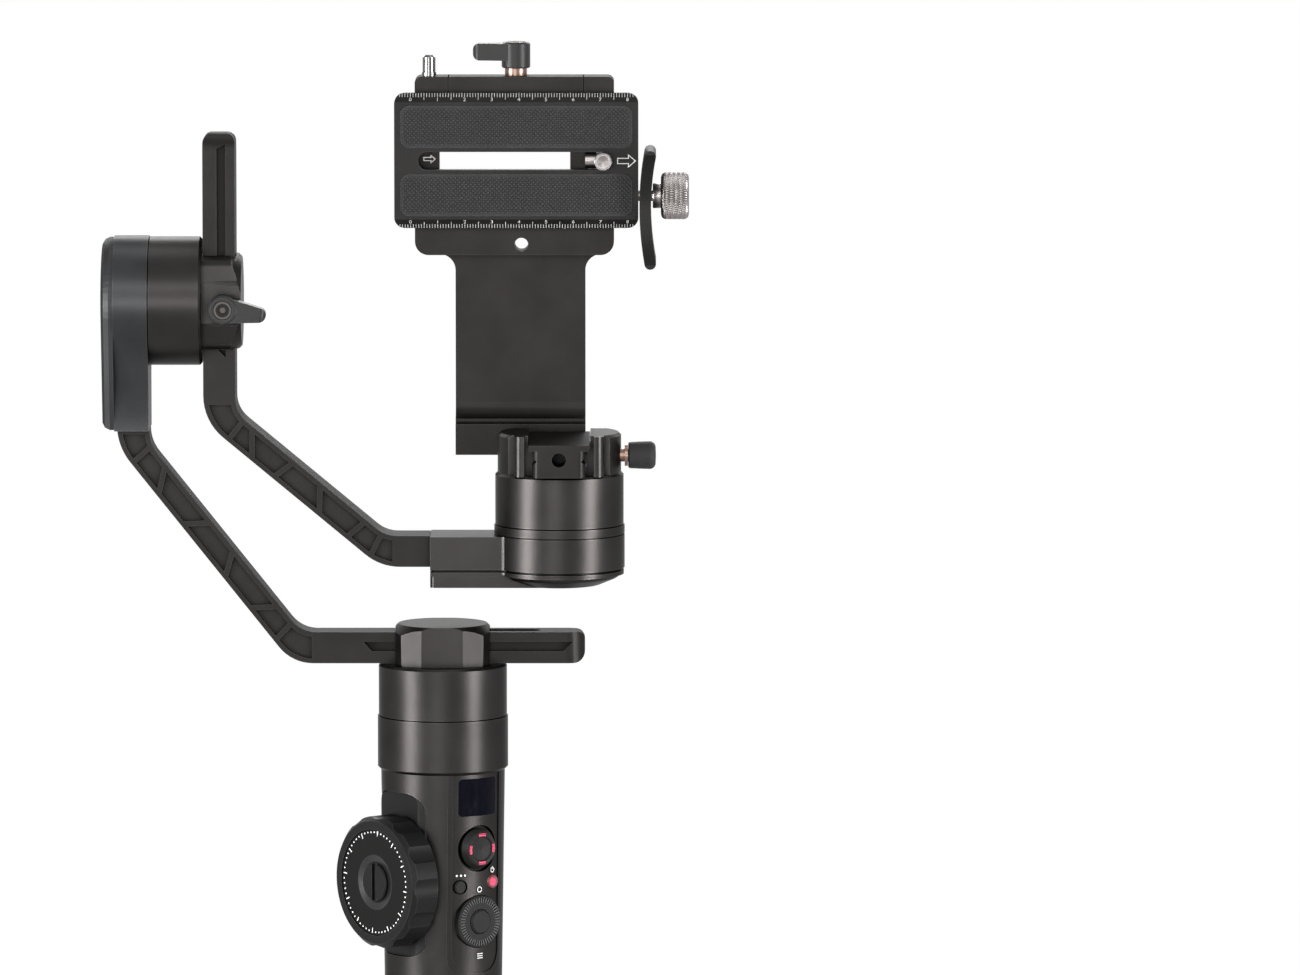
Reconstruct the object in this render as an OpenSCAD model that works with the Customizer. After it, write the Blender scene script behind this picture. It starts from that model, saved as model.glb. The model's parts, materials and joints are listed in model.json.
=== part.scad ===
// Three-axis handheld gimbal stabilizer, 1:1 in millimetres.
// +Z runs up the grip's axis and +X along the roll axis, away from the roll motor.
// The origin is the mouth of the tripod thread, at the grip's foot.

/* [Grip] */
// Outer diameter of the housing under the yaw motor
grip_d = 45.6; // [44:0.2:50]
// Outer diameter of the housing where the rubber sleeve starts
grip_low_d = 43.3; // [42.8:0.1:46]
// Length of the housing from the battery chamber to the yaw motor
neck_l = 87; // [84:1:100]
// Inner diameter of the battery chamber
chamber_d = 40.8; // [40.2:0.1:41.4]
// Bare housing between the rubber sleeve and the control panel
sleeve_gap = 3.5; // [2:0.5:6]
// Outer diameter of the rubber sleeve
sleeve_d = 44.4; // [44:0.2:48]
// Height of the battery cap
cap_h = 12; // [11:0.5:14]
// Length of the cap's threaded neck
cap_neck = 3.5; // [3:0.5:4]
// Radius of the quarter inch tripod and camera threads
thread_r = 3.175; // [3.175:0.1:4.8]
// Depth of the tripod thread
tripod_depth = 9; // [7:0.5:10]
// Diameter of one cell
cell_d = 18.4; // [17:0.1:18.5]
// Length of one cell
cell_l = 65; // [60:1:65]

/* [Control panel] */
// Turn of the panel from the front, towards the right
panel_turn = 38; // [30:1:45]
// Width of the panel
panel_w = 23.8; // [23:0.1:26]
// Length of the panel below the yaw motor
panel_l = 75.5; // [72:0.5:78]
// Radius of the panel's lower corners
panel_r = 8; // [4:0.5:10]
// Size of the display window
window_size = [17, 13.9]; // [10:0.2:18]
// Middle of the display window below the yaw motor
window_drop = 8.4; // [8.2:0.1:9.5]
// Middle of the four-way pad below the yaw motor
pad_drop = 27.5; // [26:0.5:28]
// Diameter of the four-way pad
pad_d = 15; // [13:0.5:15.5]
// Middle of the menu dial below the yaw motor
dial_drop = 54.6; // [54:0.2:57]
// Diameter of the menu dial
dial_d = 19.2; // [17:0.2:20]
// Diameter of the dial's centre button
menu_d = 9; // [8:0.2:9.4]
// Centre of the mode button, across the panel and below the yaw motor
mode_at = [-7.6, 41.4]; // [-8:0.1:42]
// Centre of the power button, across the panel and below the yaw motor
power_at = [6.6, 40.4]; // [6:0.1:42]
// Diameter of the two round buttons
button_d = 5; // [4:0.2:5.4]
// Travel of the buttons
press = 0.5; // [0.3:0.1:0.6]

/* [Focus wheel] */
// Turn of the wheel from the front, towards the left
wheel_turn = 51; // [45:1:58]
// The wheel's axle below the yaw motor
wheel_drop = 39.7; // [37.5:0.1:42]
// Outer diameter of the wheel
wheel_d = 48.6; // [44:0.2:50]
// Thickness of the wheel
wheel_w = 11.6; // [10:0.2:13]
// Number of hollows round the rim
wheel_hollows = 12; // [8:1:16]
// Diameter of the dial in the wheel
wheel_dial_d = 39.2; // [34:0.2:40]
// Diameter of the slotted centre screw
wheel_screw_d = 14; // [10:0.2:16]
// Radius of the wheel's axle
axle_r = 3; // [2.5:0.1:4]
// Width and height of the pad behind the wheel
seat_size = [26.4, 60.6]; // [24:0.2:64]
// How far the pad's middle lies above the wheel's axle
seat_rise = 2.3; // [0:0.1:4]
// Distance of the pad's flat from the grip's axis
seat_flat = 20.3; // [19.8:0.1:20.6]

/* [Motors] */
// Outer diameter of the motor housings
motor_d = 48; // [47.6:0.2:52]
// How far the turning half stands in from its housing
rotor_step = 0.4; // [0.3:0.1:1]
// Wall thickness of the motor shells
motor_wall = 2; // [1.6:0.1:2.2]
// Height of the yaw motor's fixed half
yaw_depth = 20; // [18:0.5:22]
// Length of the roll motor's fixed half
roll_depth = 12.8; // [12.6:0.1:13.5]
// Height of the tilt motor's fixed half
tilt_depth = 15.9; // [15:0.1:17]
// Height of each turning half
rotor_h = 19; // [18.6:0.1:19.2]
// Radius of the spindles
spindle_r = 5; // [4.5:0.1:5.4]
// Number of stator teeth
teeth = 12; // [9:3:12]
// Number of magnets
poles = 14; // [10:2:14]

/* [Yaw arm] */
// Height of the level bar's section
yaw_bar_h = 11.5; // [10:0.1:12]
// Depth of the arm, front to back
yaw_arm_y = 14; // [12:0.5:15]
// Thickness of the slanting member
yaw_slant_t = 9.8; // [9:0.1:11]
// Reach of the bar's free end from the yaw axis
yaw_tip_x = 52.4; // [48:0.2:56]
// Place of the lower bend
yaw_bend_x = -53.6; // [-56:0.2:-52]
// Height of the upper bend above the level bar
yaw_rise = 75; // [73.5:0.5:75.5]
// Place of the arm's upper end
yaw_top_x = -113.3; // [-114:0.1:-113]

/* [Roll axis] */
// Height of the roll axis above the yaw arm's level bar
roll_rise = 127.5; // [126:0.5:129]
// Place of the gap between the roll motor's halves
roll_gap_x = -107.2; // [-107.5:0.1:-107]
// Half width of the roll housing's foot
roll_foot_y = 13; // [11:0.5:16]
// Length of the roll housing's foot, from the roll axis
roll_foot_l = 47; // [46:0.5:48]
// Thickness of the end cap
end_cap_t = 4.4; // [3.5:0.1:5]

/* [Roll arm] */
// Width of the upright bar
roll_bar_w = 11.8; // [11:0.1:12.2]
// Depth of the arm, front to back
roll_arm_y = 19; // [16:0.5:20]
// Length of the upright bar above the roll axis
roll_bar_up = 62.1; // [52:0.5:64]
// Length of the upright bar below the roll axis
roll_bar_down = 42; // [41.5:0.5:44]
// Thickness of the slanting member
roll_slant_t = 10; // [9:0.1:11]
// Place of the lower bend
roll_bend_x = -21.7; // [-23:0.1:-21]
// Distance of the level member below the roll axis
roll_drop = 91.6; // [91:0.1:92]
// Height of the level member's section
roll_foot_h = 11.4; // [10:0.1:11.6]

/* [Tilt axis] */
// Place of the tilt axis
tilt_x = 43; // [42:0.2:44]
// How far the round housing rises above its block
tilt_step = 3.7; // [3:0.1:5]
// Place of the tilt housing's free end
tilt_end_x = -4.4; // [-6:0.2:-3]
// Half width of the tilt housing's block
tilt_block_y = 12.5; // [11:0.5:14]
// Thickness of the bottom cover
tilt_cover_t = 6.6; // [5:0.2:7]
// Height of the slide clamp
slide_clamp_h = 14.8; // [14:0.2:16]
// Diameter of the clamp knob
knob_d = 10; // [8:0.5:12]

/* [Camera bracket] */
// Width of the slide rail
rail_w = 19.2; // [16:0.2:20]
// Height of the slide rail
rail_h = 12; // [10:0.2:12.6]
// Front end of the slide rail
rail_front = -27; // [-30:0.5:-24]
// Width of the upright plate
upright_w = 48; // [44:0.5:50]
// Left side of the upright plate
upright_x = 4.4; // [3:0.2:5]
// Front face of the upright plate
upright_y = 31; // [30.5:0.1:32]
// Thickness of the upright plate
upright_t = 8; // [7:0.5:9]
// Distance of the clamp head's lower edge below the plate's middle
head_drop = 35.2; // [34:0.2:36.4]
// Length of the clamp head
head_l = 73.5; // [70:0.5:76]
// Left end of the clamp head
head_x = -10.5; // [-12:0.5:-9]

/* [Quick release plate] */
// Length of the plate
plate_l = 90; // [80:1:100]
// Height of the plate's face
plate_h = 50; // [48:0.5:52]
// Thickness of the plate
plate_t = 9; // [8.6:0.1:9.4]
// Left end of the plate
plate_x = -18; // [-20:0.5:-16]
// Height of the plate's middle above the slide rail
plate_rise = 112.5; // [111:0.5:114]
// Width of the slot
slot_w = 6.6; // [6.5:0.1:7.6]
// Ends of the slot from the plate's left end
slot_ends = [8.8, 80.4]; // [6:0.2:84]
// Thickness of the rubber pads under the plate's face
pad_t = 1; // [0.6:0.1:1.4]
// Height of each rubber pad
pad_h = 15.6; // [12:0.2:16]
// Distance of the rubber pads' middles from the slot's
pad_offset = 12.6; // [12.2:0.1:13]

/* [Lens support] */
// Length of the support
support_l = 43.8; // [40:0.2:48]
// Thickness of the support
support_t = 4.3; // [3:0.1:4.6]
// Bow of the support's ends
support_bow = 2.2; // [1.5:0.1:3]
// Diameter of the thumb screw
thumb_d = 17.4; // [14:0.2:20]

/* [Levers] */
// Radius of a lever's hub
lever_hub_r = 5.3; // [4.8:0.1:5.6]
// Height of a lever's hub
lever_hub_h = 9.6; // [8:0.2:10]
// Length from the hub to the end's centre
lever_l = 13.2; // [11:0.2:15]

/* [Fits] */
// Clearance between bodies
gap = 0.3; // [0.25:0.01:0.35]
// Radial clearance of a running fit
fit = 0.05; // [0.02:0.01:0.09]
// Clearance round parts that are fixed together
seat = 0.1; // [0.05:0.01:0.15]
// Clearance round the sliding bars
slide = 0.25; // [0.2:0.01:0.3]

/* [Hidden] */
$fn = 96;
ARC = 8;

GUNMETAL = [0.20, 0.20, 0.21];
ARM_GREY = [0.16, 0.16, 0.16];
BLACK = [0.06, 0.06, 0.06];
RUBBER = [0.09, 0.09, 0.09];
STEEL = [0.75, 0.75, 0.77];
BRONZE = [0.62, 0.42, 0.30];

// Grip
housing_floor = cap_h + 0.4;
cap_top = cap_h + cap_neck;
cells_z = cap_top + 1.5;
contacts_z = cells_z + cell_l;
contacts_t = 2;
bulkhead_z = contacts_z + contacts_t + 1;
bulkhead_t = 3;
grip_h = bulkhead_z + bulkhead_t + neck_l;
cell_ring_r = (cell_d + 0.2) / sqrt(3);
panel_z = grip_h - panel_l;
sleeve_top = panel_z - sleeve_gap;
window_z = grip_h - window_drop;
pad_z = grip_h - pad_drop;
dial_z = grip_h - dial_drop;
mode_centre = [mode_at.x, grip_h - mode_at.y];
power_centre = [power_at.x, grip_h - power_at.y];
wheel_z = grip_h - wheel_drop;
panel_back = 17.5;
seat_floor = 19.8;
board_face = 14;
board_size = [27, 64];
board_z = grip_h - 38;
trigger_z = grip_h - 35;
trigger_size = [13, 26];
seat_plate = 2.2;
wheel_back = seat_flat + gap;
wheel_face = wheel_back + wheel_w;
dial_pocket = 2;

// Motors, measured from the gap between their two halves
hub_bore_r = 8;
hub_r = 9.6;
core_low = -8;
core_high = 2;
tooth_w = 2.6;
skirt_r = motor_d / 2 - motor_wall - 0.8;
magnet_r = [skirt_r - 3.3, skirt_r - 1.3];
tooth_r = magnet_r.x - 0.5;
rotor_d = motor_d - 2 * rotor_step;
floor_t = 2.4;
top_t = 2.5;
bearing_w = 4;
bearing_low = -9.4;
bearing_high = 3;
gap_half = 0.2;

yaw_gap_z = grip_h + yaw_depth;
yaw_top = yaw_gap_z + gap_half + rotor_h;
roll_rotor_x = roll_gap_x + gap_half + rotor_h;

// Heights from the yaw motor up
yaw_bar_z = yaw_top + gap + slide + yaw_bar_h / 2;
yaw_bend_z = yaw_bar_z + yaw_rise;
roll_z = yaw_bar_z + roll_rise;
yaw_top_z = roll_z - roll_foot_l;
roll_top_z = roll_z + roll_bar_up;
roll_bend_z = roll_z - roll_bar_down;
roll_foot_z = roll_z - roll_drop;
tilt_gap_z = roll_foot_z + roll_foot_h / 2 + tilt_step - 0.1;
tilt_top = tilt_gap_z + gap_half + rotor_h;
rail_z = tilt_top + gap;
plate_z = rail_z + plate_rise;
head_z = plate_z - head_drop;

// Arms: the corners of each centre line, in the X-Z plane
yaw_path = [
    [yaw_tip_x, yaw_bar_z], [yaw_bend_x, yaw_bar_z],
    [yaw_top_x, yaw_bend_z], [yaw_top_x, yaw_top_z]
];
yaw_thick = [yaw_bar_h, yaw_slant_t, 11.9];
roll_bar_x = roll_rotor_x + 0.3 + slide + roll_bar_w / 2;
roll_path = [
    [roll_bar_x, roll_top_z], [roll_bar_x, roll_bend_z],
    [roll_bend_x, roll_foot_z], [tilt_end_x - 0.1, roll_foot_z]
];
roll_thick = [roll_bar_w, roll_slant_t, roll_foot_h];
cover_t = 1.4;
tenon = 9;
pocket_depth = 1.4;
groove_depth = 2.6;

// Axis clamps
clamp_r = 17.4;
clamp_h = 14.7;
// Place of each clamp's screw, across its arm and above its motor
yaw_screw_at = [0, 7];
roll_screw_at = [1.5, 8.3];
lever_screw_r = 2.5;
clamp_lever_h = 7;

// Camera bracket
groove_z = rail_z + 6;
flange_t = 2.2;
flange_out = 1.5;
rail_ease = 2.6;
foot_y = 24.5;
foot_z = [rail_z + 3.3, rail_z + 14.8];
plate_y = upright_y - gap - plate_t;
head_top = plate_z + plate_h / 2 + 5.8;
bevel = 2.2;
tail_y = plate_y + bevel + 1.8;
tail_drop = 5;
jaw_x = [2, 51.6];
jaw_back = upright_y + upright_t - 1.4 - gap;
jaw_low = plate_h / 2 - 5.8;
lip_front = tail_y + 0.4;
lever_x = 26.8;
pin_x = -5.2;
pin_y = lip_front + 2.7;
pin_r = 2.4;
slot_x = [plate_x + slot_ends.x, plate_x + slot_ends.y];
screw_x = slot_x.y - slot_w / 2 - 0.1;
shank_r = thread_r - 0.575;
thread_l = 4.2;
window_h = 29;
support_x = plate_x + plate_l + 0.4;
support_z = plate_z - 17.2;
support_screw_z = plate_z - 13.2;
support_screw_y = plate_y + plate_t / 2;

// ---- Helpers ----

function unit(v) = v / norm(v);
function left_of(u) = [-u.y, u.x];
// Where the line through p along u meets the line through q along v
function meet(p, u, q, v) = p + u * cross(q - p, v) / cross(u, v);
// Radius of the tapered grip housing at height z
function housing_r(z) = (grip_low_d
    + (grip_d - grip_low_d) * (z - sleeve_top) / (grip_h - sleeve_top)) / 2;

// The rounded corner at b, between a and c; b holds x, y and the radius
function corner_arc(a, b, c) =
    let (p = [b.x, b.y], u = unit([a.x, a.y] - p), v = unit([c.x, c.y] - p))
    b.z == 0 ? [p] :
    let (half = acos(u * v) / 2, d = b.z / tan(half),
         o = p + unit(u + v) * b.z / sin(half),
         s = p + u * d - o, e = p + v * d - o,
         start = atan2(s.y, s.x), sweep = (atan2(e.y, e.x) - start + 540) % 360 - 180)
    [for (k = [0 : ARC]) let (w = start + sweep * k / ARC) o + b.z * [cos(w), sin(w)]];
// Points of an outline whose corners are [x, y, radius]
function rounded(c) = let (n = len(c))
    [for (i = [0 : n - 1]) each corner_arc(c[(i + n - 1) % n], c[i], c[(i + 1) % n])];

// One edge of a bent arm; side is 1 or -1, and inset moves the edge inwards
function arm_edge(path, thick, side, inset = 0) =
    let (u = [for (i = [0 : 2]) unit(path[i + 1] - path[i])],
         o = [for (i = [0 : 2]) left_of(u[i]) * side * (thick[i] / 2 - inset)])
    [path[0] + o[0], meet(path[0] + o[0], u[0], path[1] + o[1], u[1]),
     meet(path[1] + o[1], u[1], path[2] + o[2], u[2]), path[3] + o[2]];
// Gives each corner of an edge its radius
function with_radii(edge, radii) = [for (i = [0 : 3]) [edge[i].x, edge[i].y, radii[i]]];
function reversed(list) = [for (i = [len(list) - 1 : -1 : 0]) list[i]];

// Stands a flat outline in the X-Z plane, from y0 back to y1
module upright(y0, y1) {
    translate([0, y1, 0]) rotate([90, 0, 0]) linear_extrude(y1 - y0) children();
}
// Turns something modelled facing -Y about the grip's axis
module on_grip(turn) {
    rotate([0, 0, turn]) children();
}
// Lays a shape's +Z along -Y, with the origin at height z
module facing(z, x = 0) {
    translate([x, 0, z]) rotate([90, 0, 0]) children();
}
// Puts motor coordinates on the roll axis, with +Z along +X
module on_roll_axis() {
    translate([roll_gap_x, 0, roll_z]) rotate([0, 90, 0]) children();
}
module rounded_rect(size, r) {
    square([size.x - 2 * r, size.y], center = true);
    square([size.x, size.y - 2 * r], center = true);
    for (i = [-1, 1], j = [-1, 1])
        translate([i * (size.x / 2 - r), j * (size.y / 2 - r)]) circle(r);
}
module ring(r0, r1, h) {
    difference() {
        cylinder(r = r1, h = h);
        translate([0, 0, -1]) cylinder(r = r0, h = h + 2);
    }
}
// Outline of two circles on the X axis, joined by their outer tangents
module link(r0, r1, l) {
    c = (r0 - r1) / l;
    s = sqrt(1 - c * c);
    circle(r0);
    translate([l, 0]) circle(r1);
    polygon([[r0 * c, r0 * s], [l + r1 * c, r1 * s], [l + r1 * c, -r1 * s], [r0 * c, -r0 * s]]);
}
// Solid of revolution with eased rims: radius r, from z0 to z1
module puck(r, z0, z1, ease0, ease1) {
    rotate_extrude() polygon([
        [0, z0], [r - ease0, z0], [r, z0 + ease0], [r, z1 - ease1], [r - ease1, z1], [0, z1]
    ]);
}

// ---- Motor pieces, z = 0 at the gap between the halves ----

module stator_shell(depth) {
    difference() {
        union() {
            children();
            translate([0, 0, -depth]) cylinder(r = motor_d / 2, h = depth - gap_half);
        }
        translate([0, 0, floor_t - depth]) cylinder(r = motor_d / 2 - motor_wall, h = depth);
    }
    translate([0, 0, -depth]) ring(hub_bore_r, hub_r, depth + bearing_high + bearing_w);
}
module rotor_shell() {
    top = gap_half + rotor_h;
    out = rotor_d / 2;
    rotate_extrude() polygon([
        [0, top], [0, bearing_low], [spindle_r, bearing_low], [spindle_r, top - top_t],
        [out - motor_wall, top - top_t], [out - motor_wall, 5], [magnet_r.y + seat, 5],
        [magnet_r.y + seat, core_low], [skirt_r, core_low], [skirt_r, gap_half],
        [out, gap_half], [out, top - 0.8], [out - 0.8, top]
    ]);
}
// Laminated core: a disc whose slots leave the teeth standing, each wound with copper
module stator_core() {
    h = core_high - core_low;
    step = 360 / teeth;
    slot = [12, tooth_r - 1.2];
    half_w = [for (r = slot) r * tan(step / 2) - tooth_w / 2 / cos(step / 2)];
    color(STEEL) translate([0, 0, core_low]) linear_extrude(h) difference() {
        circle(tooth_r);
        circle(hub_r + seat / 2);
        for (i = [0 : teeth - 1]) rotate((i + 0.5) * step) {
            polygon([[slot[0], -half_w[0]], [slot[1], -half_w[1]],
                [slot[1], half_w[1]], [slot[0], half_w[0]]]);
            translate([slot[1] - 1, -1.1]) square([3, 2.2]);
        }
    }
    color(BRONZE) for (i = [0 : teeth - 1]) rotate([0, 0, i * step]) difference() {
        translate([slot[0] + 0.6, -tooth_w / 2 - 1, core_low - 1])
            cube([slot[1] - slot[0] - 1, tooth_w + 2, h + 2]);
        translate([slot[0], -tooth_w / 2 - 0.1, core_low - 0.1])
            cube([slot[1] - slot[0] + 0.4, tooth_w + 0.2, h + 0.2]);
    }
}
module bearings() {
    color(STEEL) for (z = [bearing_low + 0.2, bearing_high - 0.2]) translate([0, 0, z])
        difference() {
            ring(spindle_r + fit, hub_bore_r - fit, bearing_w);
            for (face = [-0.1, bearing_w - 0.3]) translate([0, 0, face])
                ring(spindle_r + 0.8, hub_bore_r - 0.7, 0.4);
        }
}
module magnets() {
    step = 360 / poles;
    color([0.5, 0.5, 0.52]) translate([0, 0, core_low + 0.2])
        for (i = [0 : poles - 1]) rotate([0, 0, i * step]) rotate_extrude(angle = step - 2)
            translate([magnet_r.x, 0]) square([magnet_r.y - magnet_r.x, core_high - core_low]);
}

// ---- Battery cap, the root: it stays on the tripod and the grip unscrews from it ----

module battery_cap() {
    flute_r = 1.2;
    color(GUNMETAL) difference() {
        union() {
            puck(sleeve_d / 2, 0, cap_h, 1.2, 0.3);
            cylinder(r = chamber_d / 2 - 1.2, h = cap_top);
        }
        translate([0, 0, -1]) cylinder(r = thread_r + 2, h = tripod_depth + 1.2);
        for (i = [0 : 23]) rotate([0, 0, i * 15])
            translate([sleeve_d / 2 + 0.6, 0, 3]) cylinder(r = flute_r, h = cap_h - 5, $fn = 24);
    }
}
module tripod_insert() {
    color(STEEL) ring(thread_r, thread_r + 2 - seat, tripod_depth);
}
module cap_contact() {
    color(BRONZE) translate([0, 0, cap_top]) {
        cylinder(r = 17.5, h = 0.6);
        for (i = [0 : 2]) rotate([0, 0, 120 * i + 90]) translate([cell_ring_r, 0, 0])
            cylinder(r1 = 4, r2 = 2.5, h = cells_z - cap_top - 0.3);
    }
}

// ---- Grip ----

// Outline of the control panel, in its own upright plane
module panel_outline(grow) {
    w = panel_w / 2 + grow;
    translate([0, grip_h + 1]) polygon(rounded([
        [-w, 0, 0], [-w, panel_z - grow - grip_h - 1, panel_r],
        [w, panel_z - grow - grip_h - 1, panel_r], [w, 0, 0]
    ]));
}
module seat_outline(grow) {
    translate([0, wheel_z + seat_rise])
        rounded_rect([seat_size.x + 2 * grow, seat_size.y + 2 * grow], 8);
}
module trigger_outline(grow) {
    translate([0, trigger_z])
        rounded_rect([trigger_size.x + 2 * grow, trigger_size.y + 2 * grow], 5);
}
// The tapered outside of the housing, moved inwards by in
module housing_cone(in, z0, z1) {
    translate([0, 0, z0]) cylinder(r1 = housing_r(z0) - in, r2 = housing_r(z1) - in, h = z1 - z0);
}
module grip_housing() {
    tube_r = sleeve_d / 2 - 1.3;
    color(GUNMETAL) difference() {
        union() {
            translate([0, 0, housing_floor]) cylinder(r = tube_r - seat, h = sleeve_top);
            housing_cone(0, sleeve_top + 0.2, grip_h);
        }
        translate([0, 0, housing_floor - 1])
            cylinder(r = chamber_d / 2, h = bulkhead_z - housing_floor + 1);
        translate([0, 0, bulkhead_z + bulkhead_t])
            cylinder(r = chamber_d / 2, h = grip_h - bulkhead_z);
        translate([0, 0, bulkhead_z - 1]) cylinder(r = 6, h = bulkhead_t + 2);
        on_grip(panel_turn) upright(-30, -15) panel_outline(seat);
        on_grip(-wheel_turn) upright(-30, -seat_flat + seat_plate + seat) seat_outline(seat);
        on_grip(-wheel_turn) facing(wheel_z) cylinder(r = axle_r + seat, h = 30);
        on_grip(panel_turn) upright(15, 30) trigger_outline(gap);
    }
}
module grip_sleeve() {
    color(RUBBER) difference() {
        union() {
            translate([0, 0, housing_floor]) cylinder(r = sleeve_d / 2, h = sleeve_top - housing_floor);
            for (z = [housing_floor + 8 : 6 : sleeve_top - 6]) translate([0, 0, z])
                cylinder(r = sleeve_d / 2 + 0.35, h = 3);
        }
        translate([0, 0, housing_floor - 1]) cylinder(r = sleeve_d / 2 - 1.3, h = sleeve_top);
    }
}
module battery_cells() {
    color([0.2, 0.3, 0.5]) for (i = [0 : 2]) rotate([0, 0, 120 * i + 90])
        translate([cell_ring_r, 0, cells_z]) cylinder(r = cell_d / 2, h = cell_l - 1);
    color(STEEL) for (i = [0 : 2]) rotate([0, 0, 120 * i + 90])
        translate([cell_ring_r, 0, cells_z + cell_l - 1]) cylinder(r = 3, h = 1);
}
module circuit_boards() {
    color([0.1, 0.35, 0.2]) {
        translate([0, 0, contacts_z]) cylinder(r = chamber_d / 2 - seat, h = bulkhead_z - contacts_z);
        on_grip(panel_turn) translate([0, -board_face, board_z]) {
            translate([-board_size.x / 2, 0, -board_size.y / 2])
                cube([board_size.x, 1.6, board_size.y]);
            for (part = [[-8, 14, 7, 7], [4, -2, 9, 5], [-6, -20, 5, 9]])
                translate([part.x, 1.5, part.y]) cube([part[2], 1.4, part[3]]);
        }
    }
}
module control_panel() {
    color(GUNMETAL) on_grip(panel_turn) difference() {
        intersection() {
            housing_cone(0, panel_z - 1, grip_h - seat);
            upright(-30, -panel_back) panel_outline(0);
        }
        intersection() {
            difference() {
                housing_cone(-2, panel_z - 2, grip_h + 1);
                housing_cone(0.35, panel_z - 2, grip_h + 1);
            }
            upright(-30, -panel_back) translate([0, 0.5]) panel_outline(-1.4);
        }
        upright(-30, -seat_floor + 0.5) translate([0, window_z]) rounded_rect(window_size, 1.4);
        facing(pad_z) translate([0, 0, seat_floor]) cylinder(r = pad_d / 2 + 1.2, h = 9);
        facing(pad_z) cylinder(r = 3.2, h = 30);
        facing(dial_z) translate([0, 0, seat_floor]) cylinder(r = dial_d / 2 + gap, h = 9);
        facing(dial_z) cylinder(r = menu_d / 2 + 1.8 + fit, h = 30);
        for (at = [mode_centre, power_centre]) facing(at.y, at.x) cylinder(r = button_d / 2 + gap, h = 30);
    }
}
module display_window() {
    color([0.02, 0.03, 0.06]) on_grip(panel_turn) intersection() {
        housing_cone(0.3, window_z - 10, window_z + 10);
        upright(-30, -seat_floor + 0.5) translate([0, window_z])
            rounded_rect([window_size.x - 2 * seat, window_size.y - 2 * seat], 1.3);
    }
}
module wheel_seat() {
    color(BLACK) on_grip(-wheel_turn) difference() {
        intersection() {
            housing_cone(-0.25, wheel_z + seat_rise - seat_size.y / 2 - 1,
                wheel_z + seat_rise + seat_size.y / 2 + 1);
            upright(-seat_flat, -seat_flat + seat_plate) seat_outline(0);
        }
        facing(wheel_z) cylinder(r = axle_r + seat, h = 30);
    }
}
module wheel_axle() {
    flange = seat_flat - seat_plate - 2.4;
    color(STEEL) on_grip(-wheel_turn) facing(wheel_z) {
        translate([0, 0, flange]) cylinder(r = axle_r, h = wheel_face - dial_pocket - 1 - gap - flange);
        translate([0, 0, flange]) cylinder(r = 8, h = 1.4);
    }
}
module yaw_motor_housing() {
    color(GUNMETAL) translate([0, 0, yaw_gap_z]) difference() {
        stator_shell(yaw_depth);
        translate([0, 0, -yaw_depth - 0.01]) difference() {
            cylinder(r = motor_d, h = 1.2);
            cylinder(r1 = motor_d / 2 - 1.2, r2 = motor_d / 2 + 0.02, h = 1.22);
        }
    }
}
module yaw_stator_core() {
    translate([0, 0, yaw_gap_z]) stator_core();
}
module yaw_bearings() {
    translate([0, 0, yaw_gap_z]) bearings();
}

// ---- Focus wheel, trigger and buttons ----

module focus_wheel() {
    r = wheel_d / 2;
    hollow_r = 9;
    color(BLACK) on_grip(-wheel_turn) facing(wheel_z) difference() {
        intersection() {
            puck(r, wheel_back, wheel_face, 0.8, 1.6);
            translate([0, 0, wheel_back]) linear_extrude(wheel_w) difference() {
                circle(r);
                for (i = [0 : wheel_hollows - 1]) rotate(i * 360 / wheel_hollows)
                    translate([r + hollow_r - 0.9, 0]) circle(hollow_r);
            }
        }
        translate([0, 0, wheel_face - dial_pocket]) cylinder(r = wheel_dial_d / 2 + seat, h = 5);
        translate([0, 0, wheel_back - 1]) cylinder(r = axle_r + fit, h = 30);
        translate([0, 0, wheel_back + 3]) ring(axle_r + 4, wheel_dial_d / 2 - 2, wheel_w);
    }
}
module focus_dial() {
    color(BLACK) on_grip(-wheel_turn) facing(wheel_z)
        translate([0, 0, wheel_face - dial_pocket]) difference() {
            cylinder(r = wheel_dial_d / 2, h = dial_pocket - 0.4);
            translate([0, 0, -1]) cylinder(r = wheel_screw_d / 2 + seat, h = 5);
            translate([0, 0, dial_pocket - 1]) cylinder(r1 = 7.6, r2 = 10.2, h = 0.62);
        }
}
module focus_screw() {
    color(BLACK) on_grip(-wheel_turn) facing(wheel_z) difference() {
        puck(wheel_screw_d / 2, wheel_face - dial_pocket, wheel_face + 0.2, 0, 0.5);
        translate([-1.1, -wheel_screw_d, wheel_face - 0.9]) cube([2.2, 2 * wheel_screw_d, 3]);
        translate([0, 0, wheel_face - 3]) cylinder(r = axle_r + 0.6, h = 2);
    }
}
module trigger() {
    color(BLACK) on_grip(panel_turn) intersection() {
        upright(15.5, 27) trigger_outline(0);
        union() {
            housing_cone(-0.6, trigger_z - 20, trigger_z + 20);
            translate([-20, 0, trigger_z - trigger_size.y / 2 + 6]) rotate([0, 90, 0])
                translate([0, 14.5, 0]) cylinder(r = 11, h = 40);
        }
    }
}
module menu_dial() {
    knurl = 48;
    front = housing_r(dial_z) + 0.6;
    color(RUBBER) on_grip(panel_turn) facing(dial_z) difference() {
        union() {
            puck(dial_d / 2, seat_floor + gap, front, 0.2, 0.6);
            translate([0, 0, board_face + 1]) cylinder(r = menu_d / 2 + 1.8, h = 7);
        }
        cylinder(r = menu_d / 2 + gap, h = 40);
        for (i = [0 : knurl - 1]) rotate([0, 0, i * 360 / knurl])
            translate([dial_d / 2 - 2.6, -0.18, front - 0.35]) cube([3, 0.36, 1]);
    }
}
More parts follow.
